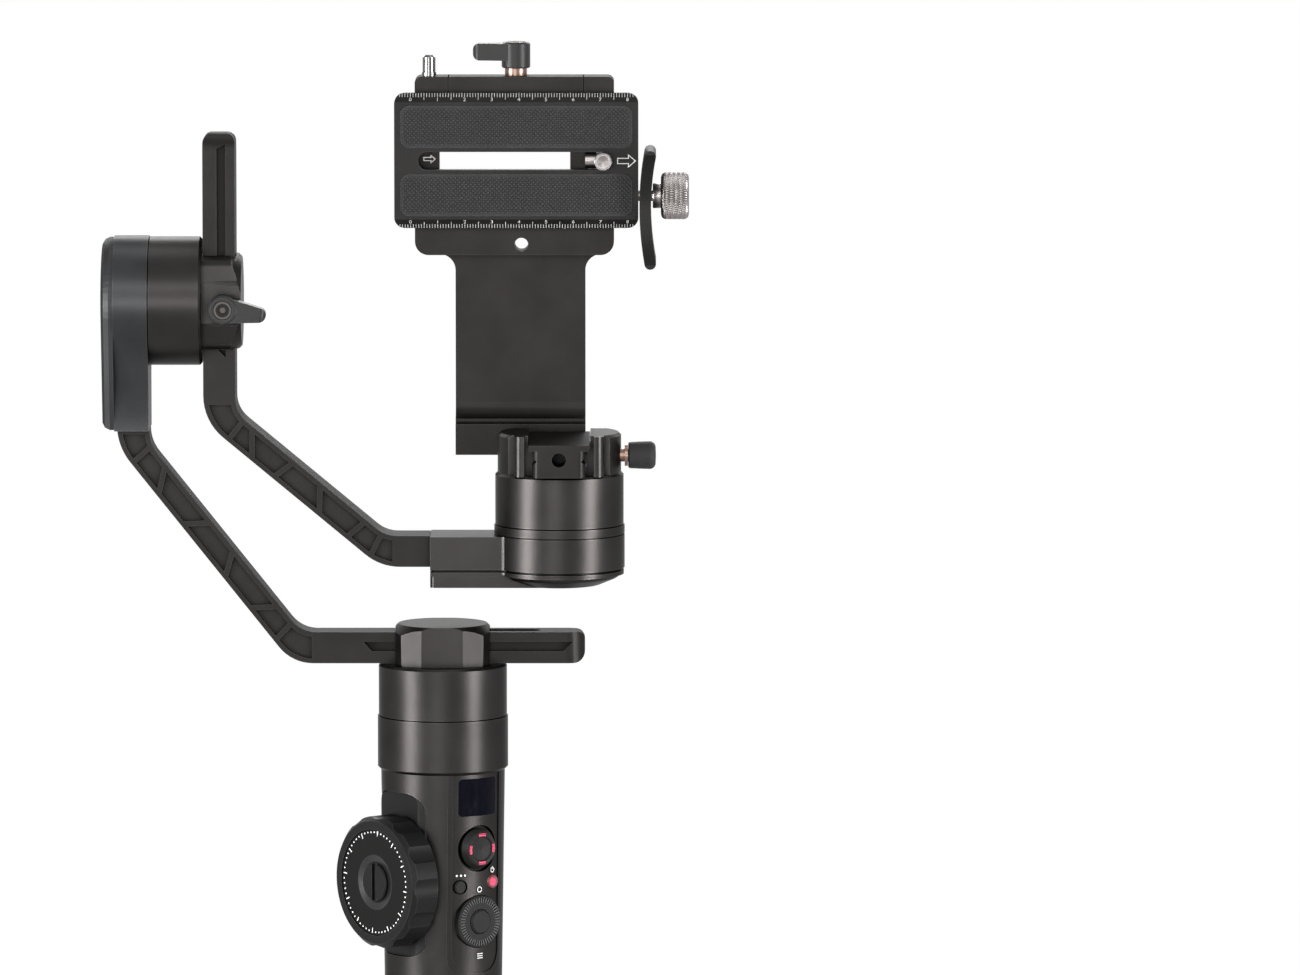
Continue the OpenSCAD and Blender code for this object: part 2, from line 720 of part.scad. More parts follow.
module menu_button() {
    front = housing_r(dial_z) + 1.5;
    color(RUBBER) on_grip(panel_turn) facing(dial_z) {
        puck(menu_d / 2, front - 5, front, 0.2, 0.7);
        translate([0, 0, board_face + press + gap]) cylinder(r = 2, h = 6);
    }
}
module direction_pad() {
    r = pad_d / 2;
    front = housing_r(pad_z) + 1.6;
    back = seat_floor + 0.7;
    color(RUBBER) on_grip(panel_turn) facing(pad_z) {
        rotate_extrude() polygon([
            [0, back], [r - 0.3, back], [r, back + 0.4], [r, back + 1], [r - 1.2, front - 0.5],
            [r - 2, front], [r - 2.6, front - 0.1], [r - 3.4, front - 0.7], [0, front - 1.1]
        ]);
        translate([0, 0, board_face + 0.8]) cylinder(r = 2.2, h = back - board_face);
    }
}
module small_button(at, proud) {
    color(RUBBER) on_grip(panel_turn) facing(at.y, at.x) {
        face = sqrt(pow(housing_r(at.y), 2) - pow(at.x, 2)) + proud;
        puck(button_d / 2, board_face + press + gap, face, 0.3, 0.5);
    }
}
module mode_button() {
    small_button(mode_centre, 0.2);
}
module power_button() {
    small_button(power_centre, 0.5);
}

// ---- Axis clamp: the arm runs along X, and the lever faces -Y ----

// Plan of a clamp: a disc with a cheek on each side of the arm, whose corners have radii soft
module clamp_plan(arm_d, soft) {
    r = clamp_r;
    side = arm_d / 2 + slide;
    cheek = [[r - 0.2, side + 1], [0.87 * r, side + 0.62 * (0.92 * r - side)], [0.43 * r, 0.92 * r]];
    half = [for (i = [0 : 2]) [cheek[i].x, cheek[i].y, soft[i]]];
    other = [for (i = [2 : -1 : 0]) [-cheek[i].x, cheek[i].y, soft[i]]];
    intersection() {
        circle(r);
        square([2 * r, 1.84 * r], center = true);
    }
    for (turn = [0, 180]) rotate(turn)
        polygon(rounded(concat([[r - 0.2, 0, 0]], half, other, [[0.2 - r, 0, 0]])));
}
module at_clamp_screw(at) {
    translate([at.x, -clamp_r - gap, at.y]) rotate([90, 0, 0]) children();
}
module axis_clamp(arm_t, arm_d, soft, at) {
    r = clamp_r;
    difference() {
        union() {
            intersection() {
                puck(r + 3, 0, clamp_h, 0, 4);
                linear_extrude(clamp_h) clamp_plan(arm_d, soft);
            }
            translate([at.x, 0, at.y]) rotate([90, 0, 0]) cylinder(r = lever_hub_r, h = r - 0.1);
        }
        translate([-r - 1, -arm_d / 2 - slide, gap]) cube([2 * r + 2, arm_d + 2 * slide, arm_t + 2 * slide]);
        translate([at.x, 0, at.y]) rotate([90, 0, 0])
            cylinder(r = lever_screw_r + fit, h = r + 2);
    }
}
module lever(hub_h) {
    difference() {
        union() {
            puck(lever_hub_r, 0, hub_h, 0.4, 0.6);
            intersection() {
                translate([0, 0, hub_h - 6.8]) linear_extrude(6.3) link(lever_hub_r - 0.5, 2.7, lever_l);
                upright(-lever_hub_r, lever_hub_r) polygon(rounded([
                    [-lever_hub_r, hub_h - 6.8, 0], [lever_l + 2.7, hub_h - 6.8, 2.4],
                    [lever_l + 2.7, hub_h - 0.5, 2.4], [-lever_hub_r, hub_h - 0.5, 0]
                ]));
            }
        }
        translate([0, 0, -1]) cylinder(r = lever_screw_r + seat, h = hub_h + 2);
        translate([0, 0, hub_h - 1.4]) cylinder(r = 3.4 + seat, h = 2);
    }
}
module lever_screw(hub_h, reach) {
    difference() {
        union() {
            translate([0, 0, -reach]) cylinder(r = lever_screw_r, h = reach + hub_h - 1);
            translate([0, 0, hub_h - 1.4]) cylinder(r = 3.4, h = 1.2);
        }
        translate([0, 0, hub_h - 1.2]) cylinder(r = 1.5, h = 3, $fn = 6);
    }
}

module yaw_rotor() {
    color(GUNMETAL) translate([0, 0, yaw_gap_z]) rotor_shell();
}
module yaw_magnets() {
    translate([0, 0, yaw_gap_z]) magnets();
}
module on_yaw_clamp() {
    translate([0, 0, yaw_top]) rotate([0, 0, 180]) children();
}
module yaw_clamp() {
    color(GUNMETAL) on_yaw_clamp() axis_clamp(yaw_bar_h, yaw_arm_y, [0.6, 0.6, 0.6], yaw_screw_at);
}
module yaw_lever() {
    color(BLACK) on_yaw_clamp() at_clamp_screw(yaw_screw_at)
        lever(clamp_lever_h);
}
module yaw_lever_screw() {
    color(BRONZE) on_yaw_clamp() at_clamp_screw(yaw_screw_at)
        lever_screw(clamp_lever_h, clamp_r - yaw_arm_y / 2 - slide);
}

// ---- Yaw arm and roll motor's fixed half ----

// Pockets along a bent arm: its inset outline between two levels, less ribs at [share, angle]
module pockets(path, thick, side, radii, levels, ribs) {
    rim = 1.7;
    near = with_radii(arm_edge(path, thick, side, rim), radii[0]);
    far = with_radii(arm_edge(path, thick, -side, rim), radii[1]);
    foot = path[1];
    difference() {
        intersection() {
            polygon(rounded(concat(near, reversed(far))));
            polygon(levels);
        }
        for (rib = ribs) translate(foot + (path[2] - foot) * rib.x) rotate(rib.y)
            square([60, 2], center = true);
    }
}
module arm_cover(path, thick, side, width, ends) {
    outer = with_radii(arm_edge(path, thick, side, seat), [0, ends[0], ends[1], 0]);
    inner = with_radii(arm_edge(path, thick, side, cover_t), [0, ends[0], ends[1], 0]);
    upright(-width / 2, width / 2) polygon(rounded(concat(outer, reversed(inner))));
}
yaw_outer_r = [4, 16, 22, 0];
yaw_inner_r = [3, 12, 14, 0];
yaw_cover_path = [[-26, yaw_bar_z], yaw_path[1], yaw_path[2], [yaw_top_x, yaw_top_z - 1]];

module yaw_arm() {
    half = yaw_arm_y / 2;
    lower = with_radii(arm_edge(yaw_path, yaw_thick, 1), yaw_outer_r);
    upper = with_radii(arm_edge(yaw_path, yaw_thick, -1), yaw_inner_r);
    ribs = [[0.08, 47], [0.2, 3], [0.414, 74], [0.613, 3], [0.825, 77], [0.95, 42]];
    color(ARM_GREY) difference() {
        union() {
            intersection() {
                upright(-half, half) polygon(rounded(concat(lower, reversed(upper))));
                translate([0, 0, yaw_bar_z - yaw_bar_h]) linear_extrude(2 * yaw_rise + 40) polygon(rounded([
                    [yaw_top_x - 20, -half, 0], [yaw_tip_x, -half, half - 0.1],
                    [yaw_tip_x, half, half - 0.1], [yaw_top_x - 20, half, 0]
                ]));
            }
            translate([yaw_top_x - 3.5, -4.5, yaw_top_z - 1]) cube([7, 9, tenon]);
        }
        for (y = [-half - 1, half - pocket_depth]) upright(y, y + 1 + pocket_depth)
            pockets(yaw_path, yaw_thick, 1, [yaw_outer_r, yaw_inner_r], [
                [yaw_top_x - 20, yaw_top_z - 1.6], [yaw_bend_x + 5.6, yaw_top_z - 1.6],
                [yaw_bend_x + 5.6, yaw_bar_z - 20], [yaw_top_x - 20, yaw_bar_z - 20]
            ], ribs);
        for (y = [-half - 1, half - groove_depth]) upright(y, y + 1 + groove_depth) polygon([
            [-29, yaw_bar_z + 2.2], [yaw_tip_x - 4.5, yaw_bar_z + 2.2],
            [yaw_tip_x - 7.8, yaw_bar_z - 1.2], [-26, yaw_bar_z - 1.2]
        ]);
        translate([14, 0, yaw_bar_z + yaw_bar_h / 2 - 1.5]) linear_extrude(3) rounded_rect([44, 6.6], 3.2);
        arm_cover(yaw_cover_path, yaw_thick, -1, 8 + 2 * seat, [11, 13]);
    }
}
module yaw_arm_cover() {
    color(BLACK) arm_cover(yaw_cover_path, yaw_thick, -1, 8, [11, 13]);
}
// Outline of the roll housing, in motor coordinates: -X there is up
module roll_outline(in) {
    foot = roll_z - yaw_top_z;
    r = 5;
    difference() {
        union() {
            link(motor_d / 2 - in, r, foot - r - in);
            translate([0, -roll_foot_y + in]) square([foot - in, 2 * (roll_foot_y - in)]);
        }
        translate([foot - in, -50]) square([100, 100]);
    }
}
module roll_motor_housing() {
    color([0.27, 0.28, 0.31]) difference() {
        on_roll_axis() stator_shell(roll_depth)
            translate([0, 0, -roll_depth]) linear_extrude(roll_depth - gap_half) roll_outline(0);
        translate([yaw_top_x - 3.5 - seat, -4.5 - seat, yaw_top_z - 1])
            cube([7 + 2 * seat, 9 + 2 * seat, tenon + seat]);
    }
}
module roll_end_cap() {
    color(GUNMETAL) on_roll_axis() translate([0, 0, -roll_depth]) hull() {
        translate([0, 0, -1.6]) linear_extrude(1.6, $fn = 64) roll_outline(0.5);
        translate([0, 0, -3.4]) linear_extrude(1, $fn = 64) roll_outline(1.3);
        translate([0, 0, -end_cap_t]) linear_extrude(1, $fn = 64) roll_outline(3);
    }
}
module roll_stator_core() {
    on_roll_axis() stator_core();
}
module roll_bearings() {
    on_roll_axis() bearings();
}

// ---- Roll rotor and its clamp ----

module on_roll_clamp() {
    on_roll_axis() translate([0, 0, gap_half + rotor_h]) children();
}
module roll_rotor() {
    color(GUNMETAL) on_roll_axis() rotor_shell();
}
module roll_magnets() {
    on_roll_axis() magnets();
}
module roll_clamp() {
    color(GUNMETAL) on_roll_clamp() axis_clamp(roll_bar_w, roll_arm_y, [0.8, 5, 6], roll_screw_at);
}
module roll_lever() {
    color(BLACK) on_roll_clamp() at_clamp_screw(roll_screw_at)
        rotate([0, 0, 82]) lever(clamp_lever_h);
}
module roll_lever_screw() {
    color(BRONZE) on_roll_clamp() at_clamp_screw(roll_screw_at)
        lever_screw(clamp_lever_h, clamp_r - roll_arm_y / 2 - slide);
}

// ---- Roll arm and tilt motor's fixed half ----

roll_outer_r = [3.6, 20, 20, 0];
roll_inner_r = [3.6, 11, 12, 0];
roll_cover_path = [[roll_bar_x, roll_bend_z + 8], roll_path[1], roll_path[2], [tilt_end_x - 1, roll_foot_z]];

module roll_arm() {
    half = roll_arm_y / 2;
    lower = with_radii(arm_edge(roll_path, roll_thick, -1), roll_outer_r);
    upper = with_radii(arm_edge(roll_path, roll_thick, 1), roll_inner_r);
    ribs = [[0.1, 52], [0.2, 89], [0.392, 36], [0.613, 88], [0.835, 40], [0.955, 62]];
    color(ARM_GREY) difference() {
        union() {
            intersection() {
                upright(-half, half) polygon(rounded(concat(lower, reversed(upper))));
                across(roll_bar_x - 20, tilt_end_x + 20) polygon(rounded([
                    [-half, roll_foot_z - 20, 0], [-half, roll_top_z, 7.5],
                    [half, roll_top_z, 7.5], [half, roll_foot_z - 20, 0]
                ]));
            }
            translate([tilt_end_x - 1, -5, roll_foot_z - 3]) cube([tenon, 10, 6]);
        }
        for (y = [-half - 1, half - pocket_depth]) upright(y, y + 1 + pocket_depth)
            pockets(roll_path, roll_thick, -1, [roll_outer_r, roll_inner_r], [
                [roll_bar_x - 20, roll_bend_z + 4.5], [roll_bend_x + 3.5, roll_bend_z + 4.5],
                [roll_bend_x + 3.5, roll_foot_z - 20], [roll_bar_x - 20, roll_foot_z - 20]
            ], ribs);
        for (y = [-half - 1, half - groove_depth]) upright(y, y + 1 + groove_depth)
            translate([roll_bar_x + 0.9, 0]) polygon([
                [-1.6, roll_z - 17], [1.6, roll_z - 20.2], [1.6, roll_top_z - 4], [-1.6, roll_top_z - 5.5]
            ]);
        arm_cover(roll_cover_path, roll_thick, 1, 11 + 2 * seat, [10, 13]);
    }
}
module roll_arm_cover() {
    color(BLACK) arm_cover(roll_cover_path, roll_thick, 1, 11, [10, 13]);
}
// Plan of the tilt housing, in motor coordinates, its block blended into the round
module tilt_outline(in) {
    r = motor_d / 2 - in;
    y = tilt_block_y - in;
    blend = 4;
    o = [-sqrt(pow(r + blend, 2) - pow(y + blend, 2)), y + blend];
    last = 90 - atan2(-o.x, o.y);
    circle(r);
    translate([tilt_end_x - tilt_x + in, -y]) square([tilt_x - tilt_end_x - in, 2 * y]);
    for (side = [0, 1]) mirror([0, side]) polygon(concat(
        [[0, 0], [o.x, 0]],
        [for (k = [0 : ARC]) let (w = -90 + last * k / ARC)
            [o.x + (blend + 0.05) * cos(w), o.y - 0.05 + blend * sin(w)]],
        [[0, o.y * r / (r + blend) - 1]]
    ));
}
module tilt_motor_housing() {
    color(GUNMETAL) translate([tilt_x, 0, tilt_gap_z]) difference() {
        stator_shell(tilt_depth)
            translate([0, 0, -tilt_depth]) linear_extrude(tilt_depth - tilt_step) tilt_outline(0);
        translate([0, 0, -tilt_step]) ring(motor_d / 2 - 0.8, motor_d, 0.5);
        translate([tilt_end_x - tilt_x - 1, -5 - seat, roll_foot_z - tilt_gap_z - 3 - seat])
            cube([tenon + seat, 10 + 2 * seat, 6 + 2 * seat]);
    }
}
module tilt_bottom_cover() {
    r = motor_d / 2;
    t = tilt_cover_t;
    l = tilt_x - tilt_end_x;
    y = tilt_block_y;
    color(GUNMETAL) translate([tilt_x, 0, tilt_gap_z - tilt_depth]) {
        translate([0, 0, -1.2]) linear_extrude(1.2) tilt_outline(1.8);
        translate([0, 0, -2.4]) linear_extrude(1.5) tilt_outline(0.3);
        rotate_extrude() polygon(rounded([
            [0, -1, 0], [r - 1.4, -1, 0], [r - 1.4, -3.2, 3], [0.6 * r, -t, 6], [0, -t, 0]
        ]));
        translate([-l / 2, 0, -t]) linear_extrude(t - 0.9) rounded_rect([l, 2 * y - 0.8], 2);
    }
}
module tilt_stator_core() {
    translate([tilt_x, 0, tilt_gap_z]) stator_core();
}
module tilt_bearings() {
    translate([tilt_x, 0, tilt_gap_z]) bearings();
}

// ---- Tilt rotor with its slide clamp ----

// Section of the slide rail; grow widens it into the clamp's channel
module rail_section(grow) {
    w = rail_w / 2 + grow;
    f = w + flange_out;
    v = 1.6;
    g = groove_z;
    top = rail_z + rail_h + grow;
    under = rail_z + rail_h - flange_t - grow;
    translate([tilt_x, 0]) polygon([
        [-w, rail_z - grow], [w, rail_z - grow], [w, g - v], [w - v, g], [w, g + v],
        [w, under], [f, under], [f, top], [-f, top], [-f, under], [-w, under],
        [-w, g + v], [-w + v, g], [-w, g - v]
    ]);
}
knob_z = rail_z + 6;
knob_y = -2;
knob_face = tilt_x + motor_d / 2 - 1.6;

module tilt_rotor() {
    color(GUNMETAL) {
        translate([tilt_x, 0, tilt_gap_z]) rotor_shell();
        difference() {
            translate([tilt_x, 0, tilt_top - 0.1]) {
                intersection() {
                    puck(motor_d / 2 - 1.3, 0, slide_clamp_h, 0, 1);
                    translate([-30, -13, 0]) cube([60, 26, 20]);
                }
                translate([0, -9, 0]) linear_extrude(slide_clamp_h) rounded_rect([33, 21], 3);
            }
            upright(-40, 40) rail_section(slide);
            translate([tilt_x - rail_w / 2 - flange_out - slide, -40, rail_z + rail_h - 0.5])
                cube([rail_w + 2 * flange_out + 2 * slide, 80, 10]);
            translate([tilt_x - 12.8, -25, rail_z - slide]) cube([25.6, 10, 20]);
            translate([tilt_x, knob_y, knob_z]) rotate([0, 90, 0])
                cylinder(r = 2.4 + fit, h = 40);
        }
    }
}
module tilt_magnets() {
    translate([tilt_x, 0, tilt_gap_z]) magnets();
}
module tilt_knob() {
    color(RUBBER) translate([knob_face + 2.9, knob_y, knob_z]) rotate([0, 90, 0]) difference() {
        union() {
            rotate_extrude() polygon(rounded([
                [0, 0, 0], [knob_d / 2 - 0.2, 0, 0.8], [knob_d / 2, 4, 4],
                [knob_d / 2 + 0.2, 10, 2.2], [0, 10.2, 0]
            ]));
        }
        translate([0, 0, -1]) cylinder(r = 2.4 + seat, h = 7);
    }
}
module tilt_knob_screw() {
    tip = tilt_x + rail_w / 2 + gap;
    color(BRONZE) translate([tip, knob_y, knob_z]) rotate([0, 90, 0]) {
        cylinder(r = 2.4, h = knob_face + 8.4 - tip);
        translate([0, 0, knob_face + 1.6 - tip]) cylinder(r = 4, h = 1.2);
    }
}

// ---- Camera bracket ----

// Section of the plate's dovetail tail, seen along X; grow is the clearance round it
module tail_section(grow) {
    top = plate_h / 2 + grow * 1.5;
    translate([0, plate_z]) polygon([
        [tail_y - grow, -top], [tail_y - grow, top],
        [upright_y + 0.01, top - (upright_y - tail_y) * 0.95],
        [upright_y + 0.01, -top + (upright_y - tail_y) * 0.95]
    ]);
}
// Stands a Y-Z section on X, from x0 to x1
module across(x0, x1) {
    translate([x0, 0, 0]) rotate([90, 0, 90]) linear_extrude(x1 - x0) children();
}
module jaw_space(grow) {
    translate([jaw_x[0] - grow, lip_front - 1, plate_z + jaw_low - grow])
        cube([jaw_x[1] - jaw_x[0] + 2 * grow, jaw_back + grow - lip_front + 1, plate_h]);
}
module camera_bracket() {
    neck = [upright_x, upright_x + upright_w];
    right = head_x + head_l;
    window = [head_x + 9, 46.8];
    color(ARM_GREY) difference() {
        union() {
            upright(upright_y, upright_y + upright_t) polygon(rounded([
                [neck.x, foot_z.x, 1], [neck.x, head_z, 6], [head_x, head_z, 5], [head_x, head_top, 2.4],
                [right, head_top, 2.4], [right, head_z, 5], [neck.y, head_z, 6], [neck.y, foot_z.x, 1]
            ]));
            upright(lip_front, upright_y + 1) polygon(rounded([
                [head_x, head_z, 5], [head_x, head_top, 2.4], [right, head_top, 2.4], [right, head_z, 5]
            ]));
            translate([neck.x, foot_y, foot_z.x])
                cube([upright_w, upright_y - foot_y + 1, foot_z.y - foot_z.x]);
            across(neck.x, neck.y) polygon([
                [upright_y - 1, foot_z.y - 1], [upright_y - 3, foot_z.y], [upright_y - 3, foot_z.y + 0.8],
                [upright_y - 5, foot_z.y + 0.8], [upright_y - 5, foot_z.y + 1.8],
                [upright_y - 3, foot_z.y + 2.4], [upright_y - 1.5, foot_z.y + 3.8],
                [upright_y - 0.5, foot_z.y + 5.6], [upright_y, foot_z.y + 7.8],
                [upright_y + 1, foot_z.y + 7.8], [upright_y + 1, foot_z.y - 1]
            ]);
            upright(rail_front, foot_y + 1) rail_section(0);
            translate([tilt_x - rail_w / 2, foot_y, rail_z]) cube([rail_w, 10, 4]);
        }
        across(head_x - 1, right + 1) tail_section(gap);
        across(head_x - 1, right + 1) translate([lip_front - 1, plate_z - jaw_low])
            square([upright_y - lip_front + 1, 2 * jaw_low]);
        jaw_space(gap);
        upright(0, 60) translate([(window.x + window.y) / 2, plate_z])
            rounded_rect([window.y - window.x, window_h], 3);
        upright(0, 60) translate([28.8, plate_z - 31.3]) circle(2.5);
        facing(rail_z + 6.6) translate([tilt_x, 0, -rail_front - 14]) cylinder(r = 2.6, h = 20);
        for (side = [-1, 1]) translate([tilt_x + side * rail_w / 2, rail_front, rail_z - 1])
            linear_extrude(rail_h + 1 - flange_t) difference() {
                square(2 * rail_ease, center = true);
                translate([-side * rail_ease, rail_ease]) circle(rail_ease);
            }
        translate([pin_x, pin_y, plate_z]) cylinder(r = pin_r + fit, h = 40);
        translate([lever_x, upright_y + 3, head_top - 22]) cylinder(r = lever_screw_r + fit, h = 30);
    }
}
module clamp_jaw() {
    color(ARM_GREY) difference() {
        intersection() {
            jaw_space(0);
            upright(lip_front, jaw_back) translate([(jaw_x[0] + jaw_x[1]) / 2, head_top - 10])
                rounded_rect([jaw_x[1] - jaw_x[0], 20], 0.6);
        }
        across(head_x - 1, 100) tail_section(gap);
        translate([0, lip_front - 1, plate_z]) cube([100, upright_y - lip_front + 1, jaw_low + 0.2]);
        translate([lever_x, upright_y + 3, head_top - 22]) cylinder(r = lever_screw_r + seat, h = 30);
    }
}
plate_lever_z = head_top + 2.8;

module plate_lever() {
    color(BLACK) translate([lever_x, upright_y + 3, plate_lever_z]) rotate([0, 0, 180])
        lever(lever_hub_h);
}
module plate_lever_screw() {
    color(BRONZE) translate([lever_x, upright_y + 3, plate_lever_z]) {
        lever_screw(lever_hub_h, plate_lever_z - plate_z - window_h / 2 - gap);
        translate([0, 0, head_top - plate_lever_z]) ring(lever_screw_r - 0.1, 4.1, plate_lever_z - head_top);
    }
}
module catch_pin() {
    z = plate_z + plate_h / 2 - (pin_y - pin_r - tail_y) + gap;
    color(STEEL) translate([pin_x, pin_y, z]) {
        cylinder(r = pin_r, h = head_top - z + 6.4);
        translate([0, 0, head_top - z + 6.3]) puck(pin_r, 0, 1.6, 0, 0.8);
        translate([0, 0, head_top - z + gap]) cylinder(r = pin_r + 0.3, h = 1.2);
    }
}

// ---- Quick release plate ----

module pad_outlines(in) {
    for (side = [-1, 1]) translate([plate_x + plate_l / 2, plate_z + side * pad_offset])
        rounded_rect([plate_l - 4.4 - 2 * in, pad_h - 2 * in], 3);
}

module quick_release_plate() {
    back = plate_y + plate_t;
    mid = plate_x + plate_l / 2;
    top = plate_h / 2;
    color(BLACK) difference() {
        intersection() {
            across(plate_x, plate_x + plate_l) translate([0, plate_z]) polygon([
                [plate_y, -top + 3.4], [plate_y, top - 3.4], [plate_y + bevel, top],
                [tail_y, top], [back, top - tail_drop], [back, -top + tail_drop],
                [tail_y, -top], [plate_y + bevel, -top]
            ]);
            upright(plate_y - 1, back + 1) translate([mid, plate_z]) rounded_rect([plate_l, plate_h], 4);
        }
        upright(0, 60) translate([(slot_x.x + slot_x.y) / 2, plate_z])
            rounded_rect([slot_x.y - slot_x.x, slot_w], slot_w / 2 - 0.01);
        upright(back - 4.6, back + 1) translate([(slot_x.x + slot_x.y) / 2, plate_z])
            rounded_rect([slot_x.y - slot_x.x + 8, slot_w + 8], 3);
        upright(plate_y - 1, plate_y + pad_t) pad_outlines(0);
        translate([plate_x + plate_l - 9, support_screw_y, support_screw_z]) rotate([0, 90, 0])
            cylinder(r = 2 + fit, h = 20);
    }
}
module plate_pads() {
    color(RUBBER) upright(plate_y - 0.4, plate_y + pad_t) pad_outlines(seat);
}
module slide_washer() {
    back = plate_y + plate_t;
    tongue_r = slot_w / 2 - slide;
    color(STEEL) difference() {
        union() {
            upright(back - 4.3, back - 3.1) translate([screw_x, plate_z])
                rounded_rect([10, slot_w + 7], 2);
            translate([screw_x - 6.6, plate_y + 1 + tongue_r, plate_z]) {
                rotate([0, 90, 0]) cylinder(r = tongue_r, h = 4);
                translate([0, 0, -tongue_r]) cube([4, back - 4 - plate_y - 1 - tongue_r, 2 * tongue_r]);
            }
        }
        facing(plate_z, screw_x) translate([0, 0, -40]) cylinder(r = shank_r + fit, h = 40);
        translate([screw_x - 8, back - 3.1, plate_z - 5]) cube([8, 5, 10]);
    }
}
module camera_screw() {
    back = plate_y + plate_t;
    color(STEEL) translate([screw_x, back, plate_z]) rotate([90, 0, 0]) difference() {
        union() {
            translate([0, 0, 0.2]) cylinder(r = 6.4, h = 2.6);
            cylinder(r = shank_r, h = plate_t + 1);
            translate([0, 0, plate_t + 0.3]) cylinder(r = thread_r, h = thread_l);
        }
        translate([-8, -0.8, 0.1]) cube([16, 1.6, 1]);
    }
}
module lens_support() {
    half = support_l / 2;
    r = (half * half + support_bow * support_bow) / (2 * support_bow);
    tip = support_t / 2;
    sweep = asin((half - tip) / (r - tip));
    reach = 6.8 + 2;
    color(BLACK) difference() {
        upright(support_screw_y - 18, support_screw_y + 12) translate([support_x + r, support_z]) {
            polygon(concat(
                [for (k = [-ARC : ARC]) let (w = 180 + sweep * k / ARC) r * [cos(w), sin(w)]],
                [for (k = [ARC : -1 : -ARC]) let (w = 180 + sweep * k / ARC)
                    (r - support_t) * [cos(w), sin(w)]]
            ));
            for (side = [-1, 1]) rotate(180 + side * sweep) translate([r - tip, 0]) circle(tip);
        }
        translate([support_x - 5, support_screw_y - 18 - 22, support_z]) rotate([0, 90, 0])
            cylinder(r = 30, h = 30);
        translate([support_x - 5, support_screw_y, support_screw_z]) rotate([90, 0, 90])
            linear_extrude(20) rounded_rect([2 * reach, 4.6], 2.29);
    }
}
module thumb_screw() {
    x = support_x + support_t + 2 * gap;
    knurl = 40;
    color(STEEL) translate([x, support_screw_y, support_screw_z]) rotate([0, 90, 0]) difference() {
        union() {
            translate([0, 0, plate_x + plate_l - 8.5 - x]) cylinder(r = 2, h = 20);
            cylinder(r = 4.7, h = 4);
            puck(thumb_d / 2, 3, 13.4, 1, 1);
        }
        for (i = [0 : knurl - 1]) rotate([0, 0, i * 360 / knurl])
            translate([thumb_d / 2, 0, 3.8]) cylinder(r = 0.4, h = 8.8, $fn = 6);
    }
}

battery_cap();
tripod_insert();
cap_contact();
grip_housing();
grip_sleeve();
battery_cells();
circuit_boards();
control_panel();
display_window();
wheel_seat();
wheel_axle();
yaw_motor_housing();
yaw_stator_core();
yaw_bearings();
focus_wheel();
focus_dial();
focus_screw();
trigger();
menu_dial();
menu_button();
direction_pad();
mode_button();
power_button();
yaw_rotor();
yaw_magnets();
yaw_clamp();
yaw_lever();
yaw_lever_screw();
yaw_arm();
yaw_arm_cover();
roll_motor_housing();
roll_end_cap();
roll_stator_core();
roll_bearings();
roll_rotor();
roll_magnets();
roll_clamp();
roll_lever();
roll_lever_screw();
roll_arm();
roll_arm_cover();
tilt_motor_housing();
tilt_bottom_cover();
tilt_stator_core();
tilt_bearings();
tilt_rotor();
tilt_magnets();
tilt_knob();
tilt_knob_screw();
camera_bracket();
clamp_jaw();
plate_lever();
plate_lever_screw();
catch_pin();
quick_release_plate();
plate_pads();
slide_washer();
camera_screw();
lens_support();
thumb_screw();
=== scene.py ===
# Three-axis handheld gimbal stabilizer: finishes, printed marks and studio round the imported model.
# Metres, +Z up, +X away from the roll motor, +Y to the back; the dictionaries of pieces are in mm.
import json
import math

import bmesh
import bpy
from mathutils import Matrix, Vector


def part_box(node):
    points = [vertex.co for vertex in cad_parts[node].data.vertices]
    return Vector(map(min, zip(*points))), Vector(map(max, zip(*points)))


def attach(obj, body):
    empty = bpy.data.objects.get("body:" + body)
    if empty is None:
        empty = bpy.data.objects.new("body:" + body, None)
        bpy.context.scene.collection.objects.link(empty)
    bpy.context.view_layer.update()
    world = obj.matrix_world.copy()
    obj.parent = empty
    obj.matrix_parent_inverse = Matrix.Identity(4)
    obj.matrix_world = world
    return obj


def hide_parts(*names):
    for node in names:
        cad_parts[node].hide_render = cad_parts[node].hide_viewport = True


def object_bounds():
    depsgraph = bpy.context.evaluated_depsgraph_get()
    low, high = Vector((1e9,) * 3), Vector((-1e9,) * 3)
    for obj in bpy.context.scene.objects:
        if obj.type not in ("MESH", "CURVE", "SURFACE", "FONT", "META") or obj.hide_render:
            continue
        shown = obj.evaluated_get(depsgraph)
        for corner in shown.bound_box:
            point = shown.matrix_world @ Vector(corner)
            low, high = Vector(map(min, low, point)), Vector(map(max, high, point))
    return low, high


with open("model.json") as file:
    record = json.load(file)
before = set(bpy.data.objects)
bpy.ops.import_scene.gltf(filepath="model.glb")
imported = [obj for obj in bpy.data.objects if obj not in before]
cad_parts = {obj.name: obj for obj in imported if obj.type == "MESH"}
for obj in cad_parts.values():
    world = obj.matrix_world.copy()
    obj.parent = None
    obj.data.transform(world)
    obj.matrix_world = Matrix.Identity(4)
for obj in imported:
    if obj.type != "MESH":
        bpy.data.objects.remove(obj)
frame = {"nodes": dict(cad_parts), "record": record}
cadBounds = [list(corner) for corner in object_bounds()]
nodes = frame["nodes"]
mm = 0.001


# A socket that answers to arithmetic
class Wire:
    def __init__(self, shader, socket):
        self.shader = shader
        self.socket = socket

    def __add__(self, other):
        return self.shader.maths("ADD", self, other)

    def __sub__(self, other):
        return self.shader.maths("SUBTRACT", self, other)

    def __rsub__(self, other):
        return self.shader.maths("SUBTRACT", other, self)

    def __mul__(self, other):
        return self.shader.maths("MULTIPLY", self, other)

    def __truediv__(self, other):
        return self.shader.maths("DIVIDE", self, other)

    __radd__ = __add__
    __rmul__ = __mul__


